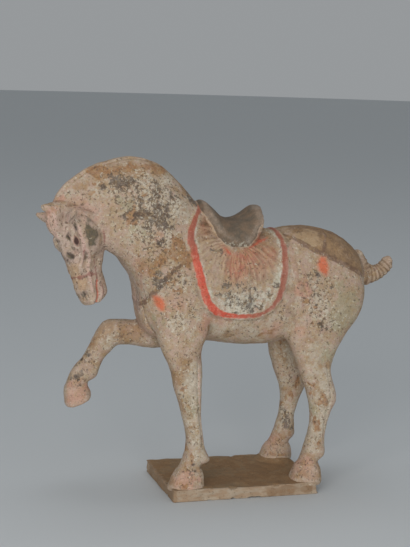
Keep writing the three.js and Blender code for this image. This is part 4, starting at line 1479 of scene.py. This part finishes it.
def bare_clay(settings):
    """The plate: brown clay on top, paler and crumbling at the edges, with stains and painted shadow."""
    paint = Finish("bare_clay")
    fine = paint.noise(1.6, 3, 0.7)
    small = paint.noise(4, 5, 0.7)
    dabs = paint.noise(6, 3, 0.7, paint.shifted(0.3, 0.1, 0))
    broad = paint.noise(24, 4, 0.6)
    layers = paint.noise(3.4, 4, 0.6, paint.shifted(0.1, 0.2, 0.3, stretch=(0.28, 0.28, 1)))
    side = paint.field("side")
    cloudy = paint.step(broad * 0.5 + small * 0.5, 0.40, 0.60)
    paint.colour = paint.mix(cloudy, settings.top, tint(156, 124, 90))
    side_colour = paint.mix(paint.step(layers, 0.38, 0.62), tint(164, 140, 116), settings.side)
    paint.lay(paint.step(side * 0.9 + layers * 0.7 - broad * 0.3, 0.36, 0.72) * 0.95, side_colour)
    # Darker brown: stains, with painted shadow and shade.
    stain_and_shadow = paint.field("stain_and_shadow") * 0.5 + broad * 0.6 + layers * 0.7 - side * 0.06
    paint.lay(paint.step(stain_and_shadow, 0.60, 0.74) * 0.6, tint(134, 104, 74))
    paint.lay(paint.step(dabs, 0.60, 0.68) * 0.4, tint(124, 98, 74))
    paint.lay(paint.step(paint.noise(2.8, 2, 0.7), 0.62, 0.68) * 0.5, tint(96, 80, 62))
    paint.lay(paint.step(fine, 0.58, 0.70) * 0.3, tint(196, 178, 156))
    return paint.done(roughness=0.95, height=small * 0.4 + fine * 0.35 + layers * 0.7, depth=0.5)


# The plate

PLATE_GRAIN = 1.1
PLATE_CORNER = 3
PLATE_EDGE = 1.0
# Stains on the front edge, painted shadow on the top under the horse, and painted shade on the left end.
PLATE_STAINS_AND_SHADOWS = [
    ((44, -59, 6), (13, 12, 9)), ((28, -59, 5), (8, 12, 6)), ((68, -59, 6), (9, 12, 6)),
    ((-70, -50, 13), (14, 12, 9)), ((-20, -30, 13), (30, 18, 9)), ((40, 10, 13), (26, 22, 9)),
    ((-82, -20, 6), (9, 110, 40)),
]


def rounded(bm, edges, radius, segments):
    """Rounds some edges over."""
    offset = radius * MM
    bmesh.ops.bevel(
        bm, geom=edges, offset=offset, segments=segments, affect="EDGES", profile=0.5, material=-1)


def slab(length, width, thick):
    """The bare slab in one even skin, with its underside at 0."""
    bm = bmesh.new()
    bmesh.ops.create_cube(bm, size=1)
    bmesh.ops.scale(bm, vec=Vector((length, width, thick)) * MM, verts=bm.verts)
    bmesh.ops.translate(bm, vec=Vector((0, 0, thick / 2 * MM)), verts=bm.verts)
    upright = [edge for edge in bm.edges if abs(edge.verts[0].co.z - edge.verts[1].co.z) > MM]
    rounded(bm, upright, PLATE_CORNER, 4)
    rounded(bm, list(bm.edges), PLATE_EDGE, 2)
    return remeshed(mesh_of(bm, "slab"), PLATE_GRAIN, "slab")


def under_hoof(points, x, y, full, reach):
    """1 within `full` of a hoof's middle and 0 beyond `reach`."""
    return soft_step(-np.hypot(points[:, 0] - x, points[:, 1] - y), -reach, -full)


def model_plate(settings):
    """The slab, hand cut and a little uneven, with a rise under the right hind hoof."""
    length, width, thick = settings.length / MM, settings.width / MM, settings.thickness / MM
    clay = Clay(slab(length, width, thick))
    points = clay.points
    normals = clay.normals()
    top = soft_step(normals[:, 2], 0.3, 0.9) * (points[:, 2] > thick - 2)
    side = soft_step(1 - abs(normals[:, 2]), 0.2, 0.7)
    rise = PAD_HEIGHT * under_hoof(points, HIND_HOOF_X + RIGHT_HIND_SHIFT, HIND_STANCE, 16, 27)
    edge = np.minimum(length / 2 - abs(points[:, 0]), width / 2 - abs(points[:, 1]))
    swell = 0.45 * waves(points, 30, 11) + 0.2 * waves(points, 9, 12)
    feet = under_hoof(points, FORE_HOOF_X, -FORE_STANCE, 17, 25)
    feet += under_hoof(points, HIND_HOOF_X, -HIND_STANCE, 17, 25)
    points[:, 2] += top * (rise * soft_step(edge, 0, 9) + swell * 0.8 + 0.7 * feet)
    lengthened = points * (0.45, 0.45, 1)
    cut = -1.0 + 0.9 * waves(points, 26, 13) + 0.4 * waves(lengthened, 7, 14) + 0.1 * waves(points, 3.4, 15)
    corner = soft_step(points[:, 2], thick - 4, thick) + soft_step(-points[:, 2], -4, 0)
    chips = soft_step(waves(points * (1, 1, 0.3), 12, 16), 0.6, 1.6)
    chipped = settings.chip_depth / MM * corner * chips * soft_step(-edge, -6, -1)
    clay.push(side * np.minimum(cut, 0.2) - chipped)
    clay.points[:, 2] = np.maximum(clay.points[:, 2], 0)
    clay.store()
    smooth_shaded(clay.mesh)
    pale = soft_step(1 - abs(clay.normals()[:, 2]), 0.1, 0.6) + 0.7 * soft_step(-edge, -6, 0)
    set_field(clay.mesh, "stain_and_shadow", sum(dab(clay.points, place, reach) for place, reach in PLATE_STAINS_AND_SHADOWS))
    set_field(clay.mesh, "side", pale)
    return clay.mesh


def put(mesh, name, material, node):
    """Puts a finished piece in the place of the frame's node."""
    if not mesh.polygons:
        raise RuntimeError(f"{name} came out empty")
    piece = bpy.data.objects.new(name, mesh)
    bpy.context.scene.collection.objects.link(piece)
    mesh.materials.clear()
    mesh.materials.append(material)
    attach(piece, "root")
    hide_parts(node)


# The stage, in metres

FLOOR_RADIUS = 9
LOOK_AT = (-0.0355, 0, 0.2311)
SENSOR_WIDTH = 36
KEY_PLACE = (-0.45, 0.22, 0)  # in the camera's frame: x to its right, y upwards, z backwards
FILL_PLACE = (0.35, -0.26, 0.1)
TOP_PLACE = (0.3, 0.5, 2.4)
WARM, COOL, SKY = (1, 0.98, 0.96), (0.96, 0.98, 1), (0.93, 0.97, 1, 1)


def make_floor(settings):
    """A wide round sheet of pale paper."""
    bm = bmesh.new()
    bmesh.ops.create_circle(bm, cap_ends=True, segments=96, radius=FLOOR_RADIUS)
    floor = bpy.data.objects.new("floor", mesh_of(bm, "floor"))
    bpy.context.scene.collection.objects.link(floor)
    paper = Finish("paper")
    paper.colour = settings.floor
    floor.data.materials.append(paper.done(roughness=0.9, height=paper.noise(2, 2, 0.5), depth=0.02))


def make_camera(settings):
    """The photograph's viewing angle: a little from the front, from above and rolled."""
    data = bpy.data.cameras.new("camera")
    camera = bpy.data.objects.new("camera", data)
    bpy.context.scene.collection.objects.link(camera)
    bpy.context.scene.camera = camera
    around = Matrix.Rotation(settings.azimuth, 4, "Z")
    down = Matrix.Rotation(math.pi / 2 - settings.elevation, 4, "X")
    roll = Matrix.Rotation(settings.roll, 4, "Z")
    back = Matrix.Translation((0, 0, settings.distance))
    camera.matrix_world = Matrix.Translation(LOOK_AT) @ around @ down @ roll @ back
    data.lens = settings.lens
    data.sensor_width = SENSOR_WIDTH
    bpy.context.view_layer.update()
    return camera


def add_light(name, place, aim, size, power, colour):
    """A square light that faces its aim."""
    light = bpy.data.lights.new(name, "AREA")
    light.energy = power
    light.size = size
    light.color = colour
    lamp = bpy.data.objects.new(name, light)
    bpy.context.scene.collection.objects.link(lamp)
    lamp.location = place
    lamp.rotation_euler = (Vector(aim) - Vector(place)).to_track_quat("-Z", "Y").to_euler()


def light_room(settings):
    """Even light from all around."""
    world = bpy.data.worlds.new("studio")
    bpy.context.scene.world = world
    world.use_nodes = True
    background = world.node_tree.nodes["Background"]
    background.inputs["Color"].default_value = SKY
    background.inputs["Strength"].default_value = settings.surroundings


# What a user may change

class FigureSettings(bpy.types.PropertyGroup):
    grain: FloatProperty(
        name="Clay grain", description="Spacing of the points that the clay is modelled with",
        default=1.1 * MM, min=0.8 * MM, max=4 * MM, precision=5, unit="LENGTH", subtype="DISTANCE")
    triangles: IntProperty(
        name="Triangles", description="Most triangles that the finished horse may have",
        default=190000, min=10000, max=199000)
    cloth_height: FloatProperty(
        name="Cloth height", description="How far the saddle cloth stands out from the flank",
        default=1.9 * MM, min=0, precision=5, unit="LENGTH", subtype="DISTANCE")
    flap_height: FloatProperty(
        name="Flap height", description="How far the saddle's flaps stand out from the cloth",
        default=3.4 * MM, min=0, precision=5, unit="LENGTH", subtype="DISTANCE")
    pleat_depth: FloatProperty(
        name="Pleat depth", description="Height of the cloth's carved pleats",
        default=0.32 * MM, min=0, precision=5, unit="LENGTH", subtype="DISTANCE")
    wrap_depth: FloatProperty(
        name="Tail cord depth", description="Height of the turns of cord round the tail",
        default=0.35 * MM, min=0, precision=5, unit="LENGTH", subtype="DISTANCE")
    clay: FloatVectorProperty(
        name="Clay", description="Fired clay where the slip is gone",
        default=tint(182, 157, 141), size=4, min=0, max=1, subtype="COLOR")
    slip: FloatVectorProperty(
        name="Slip", description="Pale coat over the clay",
        default=tint(188, 178, 160), size=4, min=0, max=1, subtype="COLOR")
    blush: FloatVectorProperty(
        name="Blush", description="Pink left on the hooves, face and chest",
        default=tint(192, 146, 126), size=4, min=0, max=1, subtype="COLOR")
    border: FloatVectorProperty(
        name="Border", description="Red border of the saddle cloth where it is fresh",
        default=tint(203, 80, 62), size=4, min=0, max=1, subtype="COLOR")
    worn_border: FloatVectorProperty(
        name="Worn border", description="Red border of the saddle cloth where it has dulled",
        default=tint(152, 82, 66), size=4, min=0, max=1, subtype="COLOR")
    pleat: FloatVectorProperty(
        name="Pleats", description="Orange-red in the folds of the pleats",
        default=tint(172, 92, 70), size=4, min=0, max=1, subtype="COLOR")
    tassel: FloatVectorProperty(
        name="Tassels", description="Orange of the painted tassels on the straps",
        default=tint(208, 110, 76), size=4, min=0, max=1, subtype="COLOR")
    saddle: FloatVectorProperty(
        name="Saddle", description="Grey of the saddle's seat and flaps",
        default=tint(102, 92, 80), size=4, min=0, max=1, subtype="COLOR")
    back: FloatVectorProperty(
        name="Rump", description="Brown coat over the rump above the strap",
        default=tint(130, 104, 80), size=4, min=0, max=1, subtype="COLOR")
    earth: FloatVectorProperty(
        name="Earth", description="Soft stains of burial earth",
        default=tint(144, 110, 78), size=4, min=0, max=1, subtype="COLOR")
    rust: FloatVectorProperty(
        name="Rust", description="Crusts of rust-brown earth",
        default=tint(146, 106, 70), size=4, min=0, max=1, subtype="COLOR")
    soot: FloatVectorProperty(
        name="Bloom", description="Grey bloom in patches",
        default=tint(86, 79, 75), size=4, min=0, max=1, subtype="COLOR")
    pale_fleck: FloatVectorProperty(
        name="Pale flecks", description="Chips of white ground that are left",
        default=tint(206, 198, 180), size=4, min=0, max=1, subtype="COLOR")
    dark_fleck: FloatVectorProperty(
        name="Dark flecks", description="Small dark specks all over",
        default=tint(92, 76, 64), size=4, min=0, max=1, subtype="COLOR")


class PlateSettings(bpy.types.PropertyGroup):
    length: FloatProperty(
        name="Length", description="The plate's size along the horse",
        default=PLATE_SIZE.x, min=0.08, precision=4, unit="LENGTH", subtype="DISTANCE")
    width: FloatProperty(
        name="Width", description="The plate's size across the horse",
        default=PLATE_SIZE.y, min=0.08, precision=4, unit="LENGTH", subtype="DISTANCE")
    thickness: FloatProperty(
        name="Thickness", description="The plate's thickness without the rise under one hoof",
        default=PLATE_SIZE.z - PAD_HEIGHT * MM, min=0.006, precision=4, unit="LENGTH", subtype="DISTANCE")
    chip_depth: FloatProperty(
        name="Chip depth", description="Depth of the chips along the edges",
        default=1.6 * MM, min=0, precision=5, unit="LENGTH", subtype="DISTANCE")
    top: FloatVectorProperty(
        name="Top", description="Brown of the plate's top",
        default=tint(140, 118, 91), size=4, min=0, max=1, subtype="COLOR")
    side: FloatVectorProperty(
        name="Side", description="Pale clay of the plate's sides",
        default=tint(177, 161, 141), size=4, min=0, max=1, subtype="COLOR")


class StageSettings(bpy.types.PropertyGroup):
    azimuth: FloatProperty(
        name="Azimuth", description="The camera's turn round the figure",
        default=math.radians(-16.5), unit="ROTATION", subtype="ANGLE")
    elevation: FloatProperty(
        name="Elevation", description="The camera's height above the level view",
        default=math.radians(9.4), unit="ROTATION", subtype="ANGLE")
    roll: FloatProperty(
        name="Roll", description="The camera's turn about its own line of sight",
        default=math.radians(1.6), unit="ROTATION", subtype="ANGLE")
    distance: FloatProperty(
        name="Distance", description="From the camera to the middle of the picture",
        default=1.6, min=0.2, unit="LENGTH", subtype="DISTANCE")
    lens: FloatProperty(
        name="Lens", description="The camera's focal length",
        default=99.5, min=10, unit="CAMERA")
    key: FloatProperty(
        name="Key light", description="Power of the large light above and left of the camera",
        default=10, min=0, unit="POWER")
    fill: FloatProperty(
        name="Fill light", description="Power of the small light below and right of the camera",
        default=7.4, min=0, unit="POWER")
    top: FloatProperty(
        name="Top light", description="Power of the light overhead",
        default=8, min=0, unit="POWER")
    surroundings: FloatProperty(
        name="Surroundings", description="Strength of the even light from all around",
        default=0.33, min=0)
    floor: FloatVectorProperty(
        name="Floor", description="Pale floor under the figure",
        default=tint(204, 208, 210), size=4, min=0, max=1, subtype="COLOR")


# Operators

class HorseFigure(bpy.types.Operator):
    """Models the horse with its saddle, cloth and harness, and lays its paint"""

    bl_idname = "pottery_horse.figure"
    bl_label = "Horse figure"
    bl_options = {"REGISTER", "UNDO"}

    def execute(self, context):
        settings = context.scene.pottery_figure
        mesh = model_horse(settings)
        lay_paint(mesh)
        put(mesh, "horse_figure", painted_clay(settings), "horse")
        return {"FINISHED"}


class ClayPlate(bpy.types.Operator):
    """Models the clay plate that the horse stands on"""

    bl_idname = "pottery_horse.plate"
    bl_label = "Plate"
    bl_options = {"REGISTER", "UNDO"}

    def execute(self, context):
        settings = context.scene.pottery_plate
        put(model_plate(settings), "plate", bare_clay(settings), "base_plate")
        return {"FINISHED"}


class Stage(bpy.types.Operator):
    """Lays the pale floor and sets up the camera and the soft lights"""

    bl_idname = "pottery_horse.stage"
    bl_label = "Stage"
    bl_options = {"REGISTER", "UNDO"}

    def execute(self, context):
        settings = context.scene.pottery_stage
        make_floor(settings)
        view = make_camera(settings).matrix_world
        floor_below_top = (TOP_PLACE[0], TOP_PLACE[1], 0)
        add_light("key", view @ Vector(KEY_PLACE), (0, 0, 0.2), 0.9, settings.key, WARM)
        add_light("fill", view @ Vector(FILL_PLACE), (0, 0, 0.15), 0.4, settings.fill, WARM)
        add_light("top", TOP_PLACE, floor_below_top, 1.6, settings.top, COOL)
        light_room(settings)
        context.scene.view_settings.view_transform = "Standard"
        return {"FINISHED"}


class HorsePanel(bpy.types.Panel):
    """Lists the pieces of the pottery horse and what may be changed"""

    bl_idname = "VIEW3D_PT_pottery_horse"
    bl_label = "Pottery horse"
    bl_space_type = "VIEW_3D"
    bl_region_type = "UI"
    bl_category = "Horse"

    def draw(self, context):
        scene = context.scene
        for operator, settings in (
            (HorseFigure, scene.pottery_figure),
            (ClayPlate, scene.pottery_plate),
            (Stage, scene.pottery_stage),
        ):
            box = self.layout.box()
            box.operator(operator.bl_idname)
            for name in settings.__annotations__:
                box.prop(settings, name)


CLASSES = (FigureSettings, PlateSettings, StageSettings, HorseFigure, ClayPlate, Stage, HorsePanel)


def register():
    """Adds the classes, and their settings to the scene."""
    for each in CLASSES:
        bpy.utils.register_class(each)
    bpy.types.Scene.pottery_figure = PointerProperty(type=FigureSettings)
    bpy.types.Scene.pottery_plate = PointerProperty(type=PlateSettings)
    bpy.types.Scene.pottery_stage = PointerProperty(type=StageSettings)


def unregister():
    """Takes away what register added."""
    del bpy.types.Scene.pottery_stage
    del bpy.types.Scene.pottery_plate
    del bpy.types.Scene.pottery_figure
    for each in reversed(CLASSES):
        bpy.utils.unregister_class(each)


def main():
    """Makes the pieces and the stage."""
    register()
    bpy.ops.pottery_horse.figure()
    bpy.ops.pottery_horse.plate()
    bpy.ops.pottery_horse.stage()


if __name__ == "__main__":
    main()
